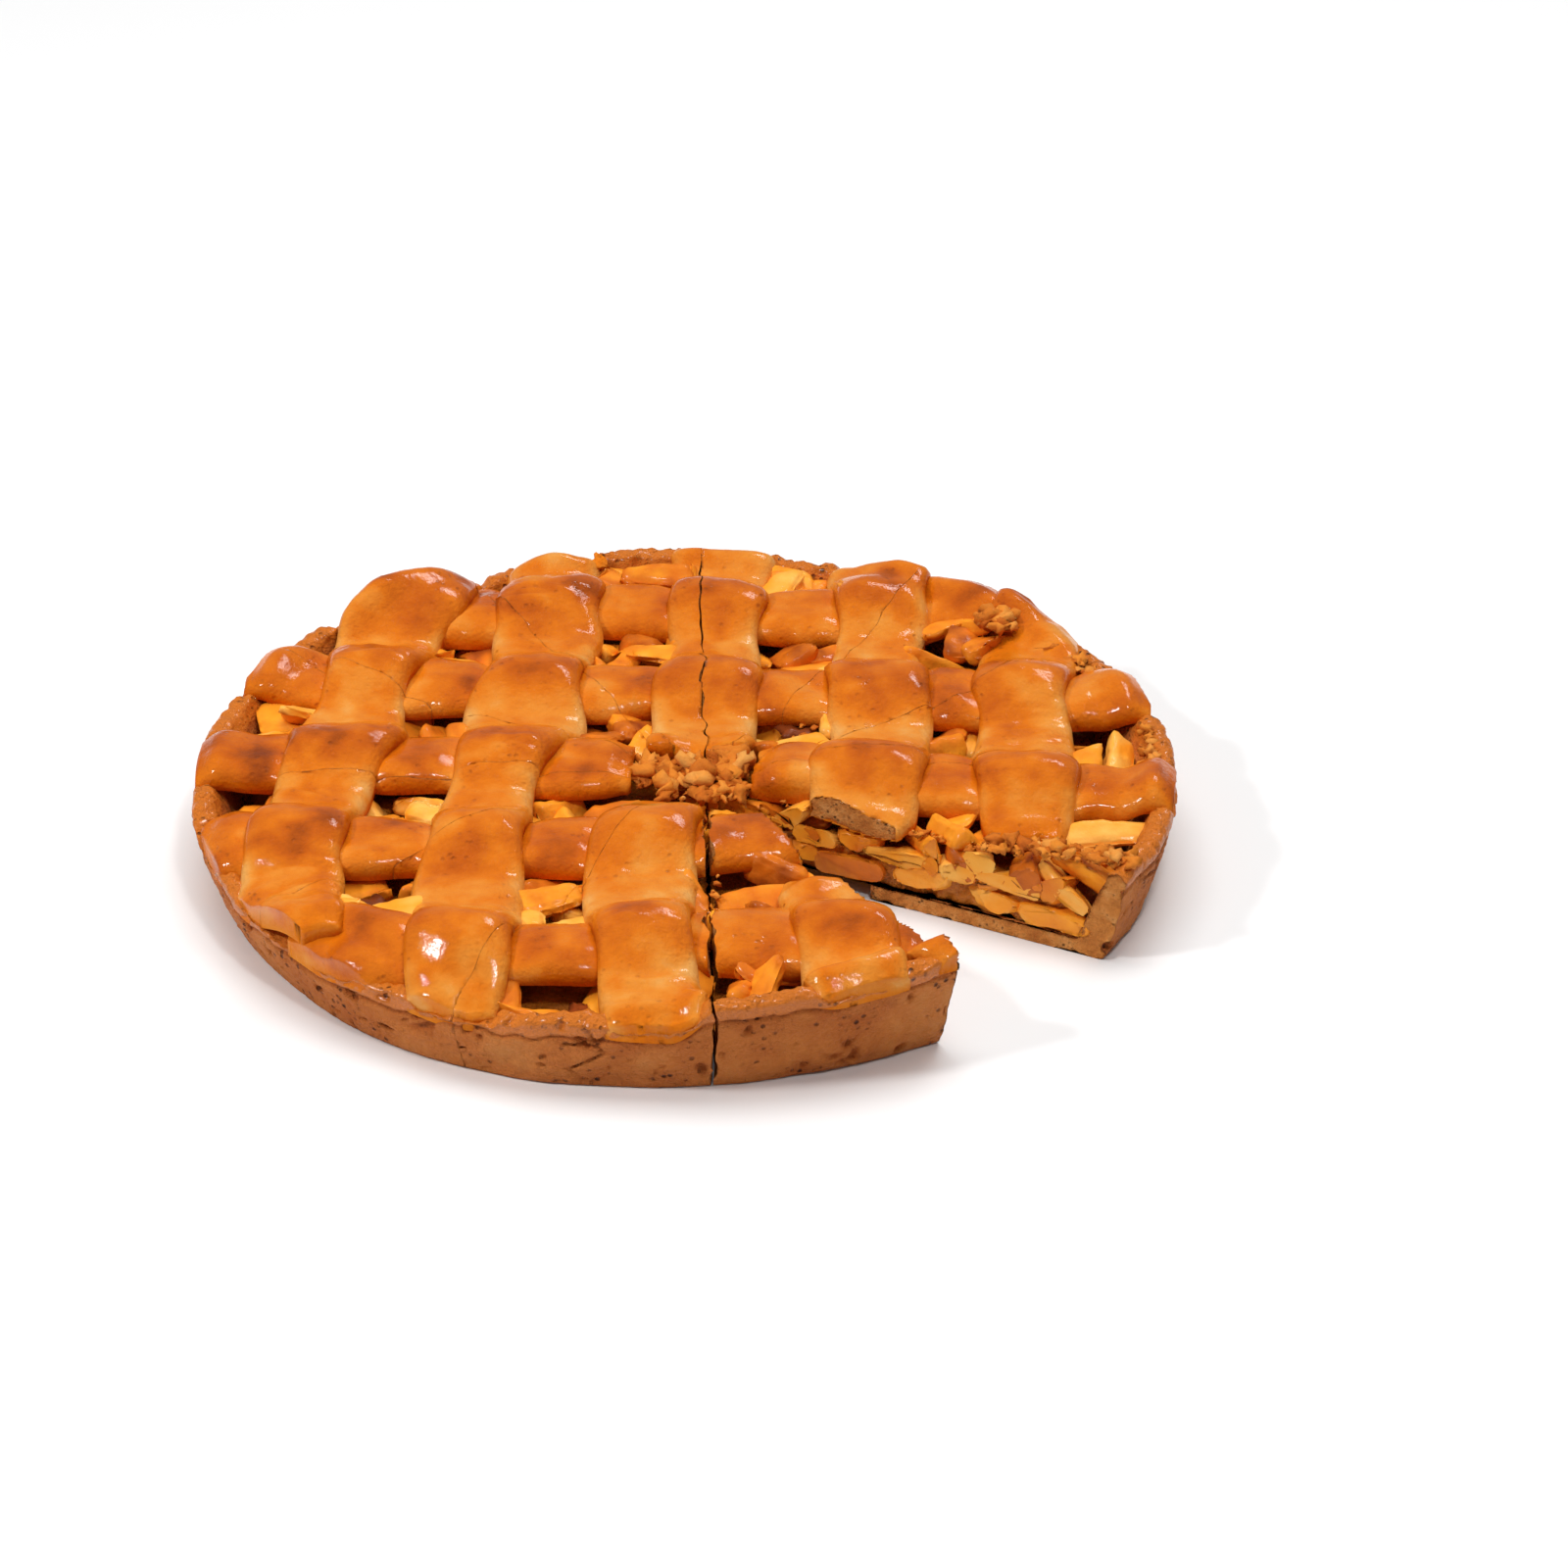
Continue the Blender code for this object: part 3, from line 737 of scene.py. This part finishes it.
# One strip: a fine grid with an underside, laid along its route and shaped on what is below it
def stripSlab(name, route):
    upper = name in lattice["columns"]
    leg = np.hypot(*np.diff(route, axis=0).T)
    travelled = np.concatenate([[0], np.cumsum(leg)])
    length = travelled[-1]
    bm = bmesh.new()
    bmesh.ops.create_grid(
        bm,
        x_segments=round(length / lattice["mesh"]),
        y_segments=round(lattice["width"] / lattice["mesh"]),
        size=0.5,
    )
    grown = bmesh.ops.extrude_face_region(bm, geom=bm.faces[:])
    below = [part for part in grown["geom"] if isinstance(part, bmesh.types.BMVert)]
    bmesh.ops.translate(bm, verts=below, vec=(0, 0, -1))
    bmesh.ops.recalc_face_normals(bm, faces=bm.faces)
    places = positions(bm)
    along = (places[:, 0] + 0.5) * length
    across = places[:, 1] * 2
    top = places[:, 2] > -0.5
    seed = sum(map(ord, name)) * 0.37
    waver = np.array([noise.noise(Vector((a / 16, seed, b))) for a, b in zip(along, np.sign(across))])
    endFade = smoothStep(np.minimum(along, length - along) / 8)
    swing = 1 + lattice["widthSwing"] * 2 * np.array([noise.noise(Vector((a / 30, seed, 7))) for a in along])
    half = lattice["width"] / 2 * (0.86 + 0.14 * endFade) * swing + lattice["edgeWaver"] * waver
    ragged = np.array([noise.noise(Vector((seed, b * 3.1, 2))) for b in across]) * 3.0
    bareEnds = [np.hypot(*end) < pie["rimRadius"] - 1 for end in (route[0], route[-1])]
    ragged = ragged * (0.25 + 0.75 * np.interp(along, [0, length], bareEnds))
    along = np.clip(along + ragged * (1 - smoothStep(np.minimum(along, length - along) / 5)), 0, length)
    x = np.interp(along, travelled, route[:, 0])
    y = np.interp(along, travelled, route[:, 1])
    tangent = np.gradient(route, axis=0)
    tangent /= np.hypot(*tangent.T)[:, None]
    dx = np.interp(along, travelled, tangent[:, 0])
    dy = np.interp(along, travelled, tangent[:, 1])
    spotX, spotY = x - dy * across * half, y + dx * across * half
    beyond = np.hypot(spotX, spotY) / lattice["trimRadius"]
    pull = np.where(beyond > 1, 1 / beyond, 1.0)
    spotX, spotY = spotX * pull, spotY * pull
    thick = lattice["thickness"] * (0.72 + 0.28 * endFade)
    base = stripSupport(spotX, spotY) - lattice["droop"] * smoothStep((np.hypot(spotX, spotY) - 134) / 6)
    if upper:
        near = nearestRoute(spotX, spotY, rowRoutes)
        over = (0.5 + 0.5 * np.cos(np.pi * np.clip(near / lattice["shoulder"], 0, 1))) ** 0.7
        base = base + over * (lattice["thickness"] - lattice["crossingSink"])
        base = base - (1 - over) * lattice["sag"] * (1 - 0.5 * np.abs(across) ** 2)
        raised = over
    else:
        near = nearestRoute(spotX, spotY, columnRoutes)
        free = smoothStep((near - lattice["width"] * 0.34) / 9)
        thick = thick * (0.86 + 0.2 * free)
        raised = 0.25 + 0.6 * free
    crown = 0.44 + 0.56 * (1 - np.abs(across) ** 3.2) ** 0.62
    height = np.where(top, base + thick * crown, base + 0.5 * np.abs(across) ** 4)
    rolled = smoothStep((np.abs(across) - 0.6) / 0.4)
    toastAndShade = 0.36 + 0.24 * raised - 0.2 * rolled * (1.2 - raised)
    toastAndShade = np.where(top, toastAndShade, 0.4)
    fine = np.zeros(len(places))
    for i in range(len(places)):
        if not top[i]:
            continue
        spot = (spotX[i], spotY[i], height[i] * 0.4 + seed)
        broad, small = lattice["swell"]
        swell = broad * roughness3d(spot, 19, seed) + small * roughness3d(spot, 7, 2)
        creased = sum(nearness(spotX[i], spotY[i], *place) for place in lattice["wrinkled"])
        creased = min(1.0, creased + max(0.0, roughness3d(spot, 16, 8) - 0.05))
        wrinkle = abs(roughness3d((along[i], across[i] * 5, seed), 3.4, 4)) * 1.6 - 0.3
        stand = sum(rise * nearness(spotX[i], spotY[i], *place) for *place, rise in lattice["lifted"])
        fine[i] = swell + wrinkle * creased + 0.16 * roughness3d(spot, 3.2, 6) + stand
        toastAndShade[i] += 0.34 * roughness3d(spot, 16, 11) + 0.16 * roughness3d(spot, 6, 12)
        toastAndShade[i] -= 0.12 * wrinkle * creased
    places = np.column_stack([spotX, spotY, height + fine * endFade ** 0.5])
    setPositions(bm, places)
    paint(bm, "toastAndShade", toastAndShade)
    paint(bm, "glaze", np.where(top, 0.35 + 0.65 * smoothStep((0.98 - np.abs(across)) / 0.1) * endFade, 0.0))
    return bm


slabs = {name: stripSlab(name, route) for name, route in routes.items()}
latticeNodes = {}
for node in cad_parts:
    if node.startswith("lattice_"):
        latticeNodes.setdefault(int(node[8:10]), []).append(node)
for number, index in enumerate(slices, 1):
    latticeSlice = bmesh.new()
    latticeSlice.verts.layers.float.new("toastAndShade")
    latticeSlice.verts.layers.float.new("glaze")
    for slab in slabs.values():
        addInto(latticeSlice, cutSlice(slab.copy(), index, "lattice", finish=crust["cutFace"]))
    nodes = latticeNodes[number]
    meshPiece(f"latticeSlice{number:02d}", latticeSlice, (glazed, crumb), nodes)
for slab in slabs.values():
    slab.free()
tell("lattice ready")


# Filling: a bed of thick juice with apple pieces in it

filling = {
    "bedDrop": 6,
    "appleReach": 133,  # apple that would stick out of the wall is pressed flat against it
    "bedReach": 125.5,
    "bedMiddle": 3,
    "underside": (60, 122.5),
    "rimHeap": (0.3, 0.9),  # how far up the bare wall the apple is heaped, in front and behind
    "rimHeapTurn": (-20, 40),  # and from which y to which it goes over from the one to the other
    "rimHeapStart": 104,
    "rimHeapRun": 20,
    "hollows": (
        (-65, 67, 12), (80, 62, 12), (79, 13, 8), (-27, -126, 8), (-83, -68, 8), (18, -68, 11), (33, 31, 6),
    ),
    "lift": (-5, 1.0),  # lowest and highest place of a random piece against the heap
    "cutFace": {"mesh": 1.6, "size": 5.0, "depth": 3.4, "least": 0.5},
    "turns": 200,
    "rows": 56,
    "spacing": 10,
    "heapReach": 129,
    "fromStrips": 10,  # pieces nearer to a strip's middle would be hidden
    "crowding": 55,  # least square of the distance between two pieces
    "length": (14, 25),
    "width": (8, 14),
    "height": (7, 11),
    "gapLevels": (9.5, 15.5),
    "gapReach": 114,
    "gapSizes": ((13, 22), (9, 14), (6.5, 9.5)),
    "mesh": 2.0,
    "divisions": 3,
    "seed": 28,
}


def fillingBed():
    floor, reach, middle = pie["floorThickness"] + 0.2, filling["bedReach"], filling["bedMiddle"]
    radii = [reach + (middle - reach) * i / filling["rows"] for i in range(filling["rows"] + 1)]
    section = [(radius, floor) for radius in (middle, *filling["underside"])]
    section += [(radius, float(heapTop(radius, 0)) - filling["bedDrop"]) for radius in radii]
    bm = revolved(section, filling["turns"])
    tone = []
    for vertex in bm.verts:
        lump = roughness3d(vertex.co, 8, 40) + 0.5 * roughness3d(vertex.co, 3.5, 41)
        if vertex.co.z > floor + 1:
            vertex.co.z += 1.5 * lump
        tone.append(0.5 - 0.5 * lump)
    paint(bm, "tone", tone)
    return bm


# A cooked slice of apple: a bent wedge, thick on its outer side, with edges gone soft
def applePiece(rng, place, size, heading, tone, tilt=0.0, roll=0.0):
    bm = bmesh.new()
    bmesh.ops.create_cube(bm, size=1)
    lean = rng.uniform(0.35, 0.9)
    skew = rng.uniform(-0.35, 0.35)
    seed = rng.uniform(0, 90)
    for vertex in bm.verts:
        along, side, up = vertex.co
        ends = rng.uniform(0.5, 1.1)
        vertex.co = Vector((along + skew * side, side * ends, up * ends * (1 - lean * (0.5 - side))))
    bmesh.ops.scale(bm, vec=size, verts=bm.verts)
    soft = min(size) * 0.27
    bmesh.ops.bevel(bm, geom=bm.edges[:], offset=soft, affect="EDGES", segments=2, profile=0.5, material=-1)
    bmesh.ops.triangulate(bm, faces=bm.faces)
    for _ in range(filling["divisions"]):
        long = [edge for edge in bm.edges if edge.calc_length() > filling["mesh"]]
        bmesh.ops.subdivide_edges(bm, edges=long, cuts=1)
        bmesh.ops.triangulate(bm, faces=bm.faces)
    bend = rng.uniform(-0.25, 0.25) / size[0]
    for vertex in bm.verts:
        vertex.co.y += bend * (vertex.co.x**2 - size[0] ** 2 / 12)
        rough = 0.8 * roughness3d(vertex.co, 6, seed) + 0.5 * roughness3d(vertex.co, 2.4, seed)
        vertex.co += vertex.co.normalized() * rough
    turn = Matrix.Rotation(heading, 3, "Z") @ Matrix.Rotation(tilt, 3, "Y") @ Matrix.Rotation(roll, 3, "X")
    bmesh.ops.rotate(bm, verts=bm.verts, cent=(0, 0, 0), matrix=turn)
    bmesh.ops.translate(bm, verts=bm.verts, vec=place)
    for vertex in bm.verts:
        past = math.hypot(vertex.co.x, vertex.co.y) / filling["appleReach"]
        if past > 1:
            vertex.co.xy /= past
    bmesh.ops.recalc_face_normals(bm, faces=bm.faces)
    paint(bm, "tone", [tone + 0.25 * roughness3d(vertex.co, 5, seed) for vertex in bm.verts])
    return bm


# x, y, height over the heap, length, width, height, heading in degrees, tone from yellow to dark
shownApples = (
    (-118, 39, 4, 24, 13, 11, 100, 0.3),
    (-113, 30, 2, 16, 11, 9, 20, 0.45),
    (-20, 74, 3, 22, 11, 9, 60, 0.5),
    (-10, 76, 5, 16, 10, 9, -20, 0.35),
    (-24, 66, 2, 18, 10, 8, 95, 0.45),
    (33, 59, 4, 21, 11, 8, 35, 0.15),
    (31, 17, 4, 22, 13, 10, 10, 0.25),
    (66, 72, 0, 18, 10, 8, 15, 0.6),
    (85, 55, 1, 15, 9, 8, 70, 0.5),
    (124, 15, 4, 25, 11, 9, 80, 0.15),
    (119, -31, 4, 27, 10, 8, 8, 0.12),
    (72, -47, 3, 30, 9, 8, -3, 0.1),
    (12, -29, 3, 17, 9, 9, 70, 0.2),
    (27, 118, 6, 22, 12, 10, 65, 0.2),
    (-33, 128, 7, 13, 10, 12, 40, 0.3),
    (-17, 128, 7, 15, 9, 12, 110, 0.3),
    (-80, -29, 3, 19, 10, 8, 15, 0.35),
    (-80, -79, 4, 22, 11, 9, 10, 0.25),
    (-72, -84, 2, 15, 10, 9, 60, 0.45),
    (-37, -72, 4, 20, 11, 9, 20, 0.5),
    (-30, -88, 4, 18, 13, 8, 35, 0.08),
    (-42, -84, 3, 14, 10, 8, 90, 0.2),
    (-40, -125, 2, 22, 10, 9, 12, 0.4),
    (-37, -30, 3, 15, 9, 8, 75, 0.4),
    (-66, 28, 2, 17, 9, 8, 80, 0.3),
    (20, -68, 1, 22, 12, 8, 5, 0.6),
    (-124, -16, 1, 19, 10, 9, 85, 0.5),
    (-22, 130, 9, 19, 10, 10, 8, 0.35),
    (29, 127, 10, 18, 10, 10, -18, 0.3),
    (34, 122, 7, 16, 9, 9, 10, 0.5),
    (-68, 112, 8, 17, 10, 9, 30, 0.45),
    (-112, 72, 7, 17, 10, 9, 60, 0.4),
    (120, 62, 6, 17, 9, 9, -60, 0.3),
    (84, 104, 6, 15, 9, 9, -40, 0.4),
)


# Every apple piece as (place, size, heading, tone, tilt, roll): the shown ones, then a random heap
def appleField():
    rng = random.Random(filling["seed"])
    found = []
    for x, y, lift, *size, heading, tone in shownApples:
        place = Vector((x, y, float(heapTop(x, y)) + lift - 2))
        leans = (rng.uniform(-0.15, 0.15), rng.uniform(-0.5, 0.5))
        found.append((place, size, math.radians(heading), tone, *leans))
    count = int(filling["heapReach"] // filling["spacing"])
    allRoutes = rowRoutes + columnRoutes
    for i in range(-count, count + 1):
        for j in range(-count, count + 1):
            x = (i + 0.5 * (j % 2) + rng.uniform(-0.3, 0.3)) * filling["spacing"]
            y = (j + rng.uniform(-0.3, 0.3)) * filling["spacing"]
            size = [rng.uniform(*filling[side]) for side in ("length", "width", "height")]
            turns = (rng.uniform(0, math.pi), rng.uniform(-0.45, 0.45), rng.uniform(-0.9, 0.9))
            tone = rng.choice((0.15, 0.3, 0.4, 0.5, 0.6, 0.75))
            hidden = nearestRoute(np.array([x]), np.array([y]), allRoutes)[0] < filling["fromStrips"]
            hidden |= any((x - a) ** 2 + (y - b) ** 2 < r**2 for a, b, r in filling["hollows"])
            squares = [(x - other[0].x) ** 2 + (y - other[0].y) ** 2 for other in found]
            crowded = min(squares) < filling["crowding"]
            if math.hypot(x, y) > filling["heapReach"] or hidden or crowded:
                continue
            heap = float(heapTop(x, y))
            share = np.interp(y, filling["rimHeapTurn"], filling["rimHeap"])
            share *= smoothStep((math.hypot(x, y) - filling["rimHeapStart"]) / filling["rimHeapRun"])
            heap += (float(rimHeight(x, y)) - heap) * float(share)
            place = Vector((x, y, heap + rng.uniform(*filling["lift"])))
            found.append((place, size, turns[0], tone, turns[1], turns[2]))
    return rng, found


# Pieces that the two faces of the gap cut through
def gapApples(rng):
    found = []
    for cut, inside in ((pie["gapPlace"] + 1, 1), (pie["gapPlace"], -1)):
        turn = math.radians(pie["firstCut"] + cut * 360 / pie["sliceCount"])
        along = Vector((math.cos(turn), math.sin(turn), 0))
        inward = Vector((-along.y, along.x, 0)) * inside
        centre = Vector((*pie["cutCentre"], 0))
        for level in filling["gapLevels"]:
            out = rng.uniform(12, 20)
            while out < filling["gapReach"]:
                size = [rng.uniform(*span) for span in filling["gapSizes"]]
                place = centre + along * out + inward * rng.uniform(1, 5)
                place.z = level + rng.uniform(-1.2, 1.2)
                heading = turn + rng.uniform(-0.5, 0.5) + (math.pi if inside > 0 else 0)
                found.append((place, size, heading, rng.uniform(0.1, 0.6), 0.0, rng.uniform(-0.4, 0.4)))
                out += size[0] * rng.uniform(0.85, 1.25)
    return found


# Which twelfth a point is in
def sliceOf(x, y):
    turn = math.degrees(math.atan2(y - pie["cutCentre"][1], x - pie["cutCentre"][0])) - pie["firstCut"]
    return int(turn % 360 // (360 / pie["sliceCount"]))


rng, apples = appleField()
apples += gapApples(rng)
bed = fillingBed()
for number, index in enumerate(slices, 1):
    heap = cutSlice(bed.copy(), index, "filling", finish=filling["cutFace"])
    for face in heap.faces:
        face.material_index = 1
    for place, size, heading, tone, tilt, roll in apples:
        steps = (-size[0], 0, size[0])
        if not any(sliceOf(place.x + a, place.y + b) == index for a in steps for b in steps):
            continue
        own = random.Random(int(place.x * 97 + place.y * 31))
        piece = applePiece(own, place, size, heading, tone, tilt, roll)
        addInto(heap, cutSlice(piece, index, "filling", faceMaterial=0))
    meshPiece(f"fillingSlice{number:02d}", heap, (apple, jam), [f"filling_{number:02d}"])
bed.free()
tell(f"filling ready: {len(apples)} apple pieces")


# Dark raisins set in the holes between the strips as painted shade, and crumbs and flakes of pastry where it
# broke

loose = {
    # x, y, height, length: dark raisins placed in the holes between the strips, as painted shade for those
    # holes
    "shadeRaisins": (
        (84, 66, 17, 9), (76, 60, 16, 8), (88, 57, 18, 8), (-62, 70, 16, 9), (-70, 63, 17, 8),
        (14, -66, 17, 8), (24, -30, 19, 8), (-26, -124, 17, 8), (32, 33, 20, 9), (78, 10, 18, 8),
        (-84, -66, 18, 8), (-30, 75, 20, 8), (45, 26, 19, 8),
    ),
    # from and to (x, y, height), width of the band, count, smallest and largest crumb
    "crumbBands": (
        ((-14, 2, 23), (17, 5, 24), 15, 90, 2.2, 8.5),
        ((-6, -10, 23), (18, -8, 22), 8, 40, 1.6, 6.0),
        ((87, 83, 31), (95, 88, 30), 11, 30, 3.0, 7.5),
        ((84, -42, 25), (126, -58, 28), 7, 90, 1.4, 5.5),
        ((132, 22, 27), (134, -14, 27), 6, 46, 1.6, 5.0),
        ((104, 80, 27), (123, 49, 27), 5, 34, 1.6, 4.5),
        ((24, -9, 22), (84, -41, 22), 3, 44, 1.0, 3.2),
        ((10, -30, 22), (9, -70, 22), 3, 14, 1.0, 2.5),
        ((-95, -90, 22), (-60, -118, 21), 6, 26, 1.2, 3.5),
        ((30, 8, 22), (36, 34, 22), 7, 16, 1.4, 4.0),
    ),
    # x, y, height, length, width, heading, lean: thin flakes that stand off the edge
    "flakes": (
        (50, 104, 32, 7, 8, 70, 0.9), (-96, -92, 22, 7, 7, -35, 1.2),
        (-28, 130, 28, 5, 6, 10, 0.9), (22, 131, 28, 5, 6, -15, 0.9), (97, 84, 28, 6, 7, 50, 1.1),
    ),
    "seed": 5,
}


# An uneven rounded lump of about the size given
def lump(rng, size, detail=2):
    bm = bmesh.new()
    bmesh.ops.create_icosphere(bm, subdivisions=detail, radius=size / 2)
    stretch = Vector((rng.uniform(0.8, 1.3), rng.uniform(0.55, 1.0), rng.uniform(0.4, 0.8)))
    seed = rng.uniform(0, 90)
    for vertex in bm.verts:
        spot = vertex.co / size
        rough = roughness3d(spot, 0.42, seed) * 0.7 + roughness3d(spot, 0.17, seed) * 0.35
        vertex.co += vertex.co * 2 * rough
        vertex.co = vertex.co * stretch
    turn = Matrix.Rotation(rng.uniform(0, math.tau), 3, "Z") @ Matrix.Rotation(rng.uniform(-0.5, 0.5), 3, "X")
    bmesh.ops.rotate(bm, verts=bm.verts, cent=(0, 0, 0), matrix=turn)
    return bm


# Dark lumps in the holes between the strips: painted shade
def shadeRaisins():
    rng = random.Random(loose["seed"])
    whole = bmesh.new()
    for x, y, height, length in loose["shadeRaisins"]:
        one = lump(rng, length, 3)
        bmesh.ops.translate(one, verts=one.verts, vec=(x, y, height))
        addInto(whole, one)
    return whole


def crumbs():
    rng = random.Random(loose["seed"] + 1)
    whole = bmesh.new()
    whole.verts.layers.float.new("toastAndShade")
    for start, end, width, count, smallest, largest in loose["crumbBands"]:
        start, end = Vector(start), Vector(end)
        across = Vector((start.y - end.y, end.x - start.x, 0)).normalized()
        for _ in range(count):
            size = smallest + (largest - smallest) * rng.random() ** 2.2
            away = rng.gauss(0, 0.28)
            spot = start.lerp(end, rng.random()) + across * width * away
            spot.z += size * 0.25 + max(0.0, 0.35 - abs(away)) * width * 0.12 * rng.random()
            one = lump(rng, size)
            bmesh.ops.translate(one, verts=one.verts, vec=spot)
            paint(one, "toastAndShade", [rng.uniform(0.2, 0.95)] * len(one.verts))
            addInto(whole, one)
    return whole


def flakes():
    rng = random.Random(loose["seed"] + 2)
    whole = bmesh.new()
    whole.verts.layers.float.new("toastAndShade")
    for x, y, height, length, width, heading, lean in loose["flakes"]:
        one = bmesh.new()
        bmesh.ops.create_grid(one, x_segments=10, y_segments=10, size=0.5)
        seed = rng.uniform(0, 90)
        for vertex in one.verts:
            across, up = vertex.co.x, vertex.co.y + 0.5
            narrow = (1 - up) ** 0.6 + 0.08
            curl = 0.25 * length * up * up + 0.8 * roughness3d(vertex.co, 0.3, seed)
            vertex.co = Vector((across * width * narrow, curl, up * length - 2))
        bmesh.ops.recalc_face_normals(one, faces=one.faces)
        bmesh.ops.solidify(one, geom=one.faces[:], thickness=1.3)
        bmesh.ops.recalc_face_normals(one, faces=one.faces)
        turn = Matrix.Rotation(math.radians(heading), 3, "Z") @ Matrix.Rotation(-lean, 3, "X")
        bmesh.ops.rotate(one, verts=one.verts, cent=(0, 0, 0), matrix=turn)
        bmesh.ops.translate(one, verts=one.verts, vec=(x, y, height))
        paint(one, "toastAndShade", [rng.uniform(0.2, 0.6)] * len(one.verts))
        addInto(whole, one)
    return whole


meshPiece("shadeRaisins", shadeRaisins(), (shadeRaisin,))
meshPiece("crumbs", crumbs(), (crumbFinish,))
meshPiece("flakes", flakes(), (glazed,))
tell("raisins and crumbs ready")


# Camera, light and floor

view = {"lens": 144, "position": (0.0281, -1.5801, 0.8624), "elevation": 28.02}


def makeCamera():
    data = bpy.data.cameras.new("camera")
    data.lens = view["lens"]
    data.sensor_width = 36
    camera = bpy.data.objects.new("camera", data)
    camera.location = view["position"]
    camera.rotation_euler = (math.radians(90 - view["elevation"]), 0, 0)
    bpy.context.scene.collection.objects.link(camera)
    bpy.context.scene.camera = camera


def areaLight(name, place, aim, size, power, mirrored=True):
    data = bpy.data.lights.new(name, "AREA")
    data.shape = "RECTANGLE"
    data.size, data.size_y = size
    data.energy = power
    lamp = bpy.data.objects.new(name, data)
    lamp.visible_glossy = mirrored
    lamp.location = place
    lamp.rotation_euler = (Vector(aim) - Vector(place)).to_track_quat("-Z", "Y").to_euler()
    bpy.context.scene.collection.objects.link(lamp)


def studio():
    areaLight("keyLight", (-0.95, -0.45, 1.0), (0, 0, 0.02), (0.2, 0.12), 8)
    areaLight("topLight", (0.1, 0.6, 2.6), (0, 0, 0.02), (2.4, 1.8), 56, mirrored=False)
    areaLight("rimLight", (0.5, 0.9, 1.1), (0, 0, 0.02), (0.5, 0.12), 2.5)
    areaLight("frontLight", (0.25, -0.75, 1.25), (0, 0, 0.02), (0.14, 0.1), 4)
    world = bpy.data.worlds.new("studioWorld")
    world.use_nodes = True
    background = world.node_tree.nodes["Background"]
    background.inputs["Color"].default_value = (1, 1, 1, 1)
    background.inputs["Strength"].default_value = 0.18
    bpy.context.scene.world = world
    bpy.context.scene.view_settings.view_transform = "Standard"


def makeFloor():
    bm = bmesh.new()
    bmesh.ops.create_grid(bm, x_segments=1, y_segments=1, size=6)
    mesh = bpy.data.meshes.new("floor")
    bm.to_mesh(mesh)
    bm.free()
    finish = newMaterial("floorFinish", Base_Color=(0.9, 0.9, 0.9, 1), Roughness=0.6)[0]
    mesh.materials.append(finish)
    floor = bpy.data.objects.new("floor", mesh)
    bpy.context.scene.collection.objects.link(floor)


makeCamera()
studio()
makeFloor()
tell("stage ready")
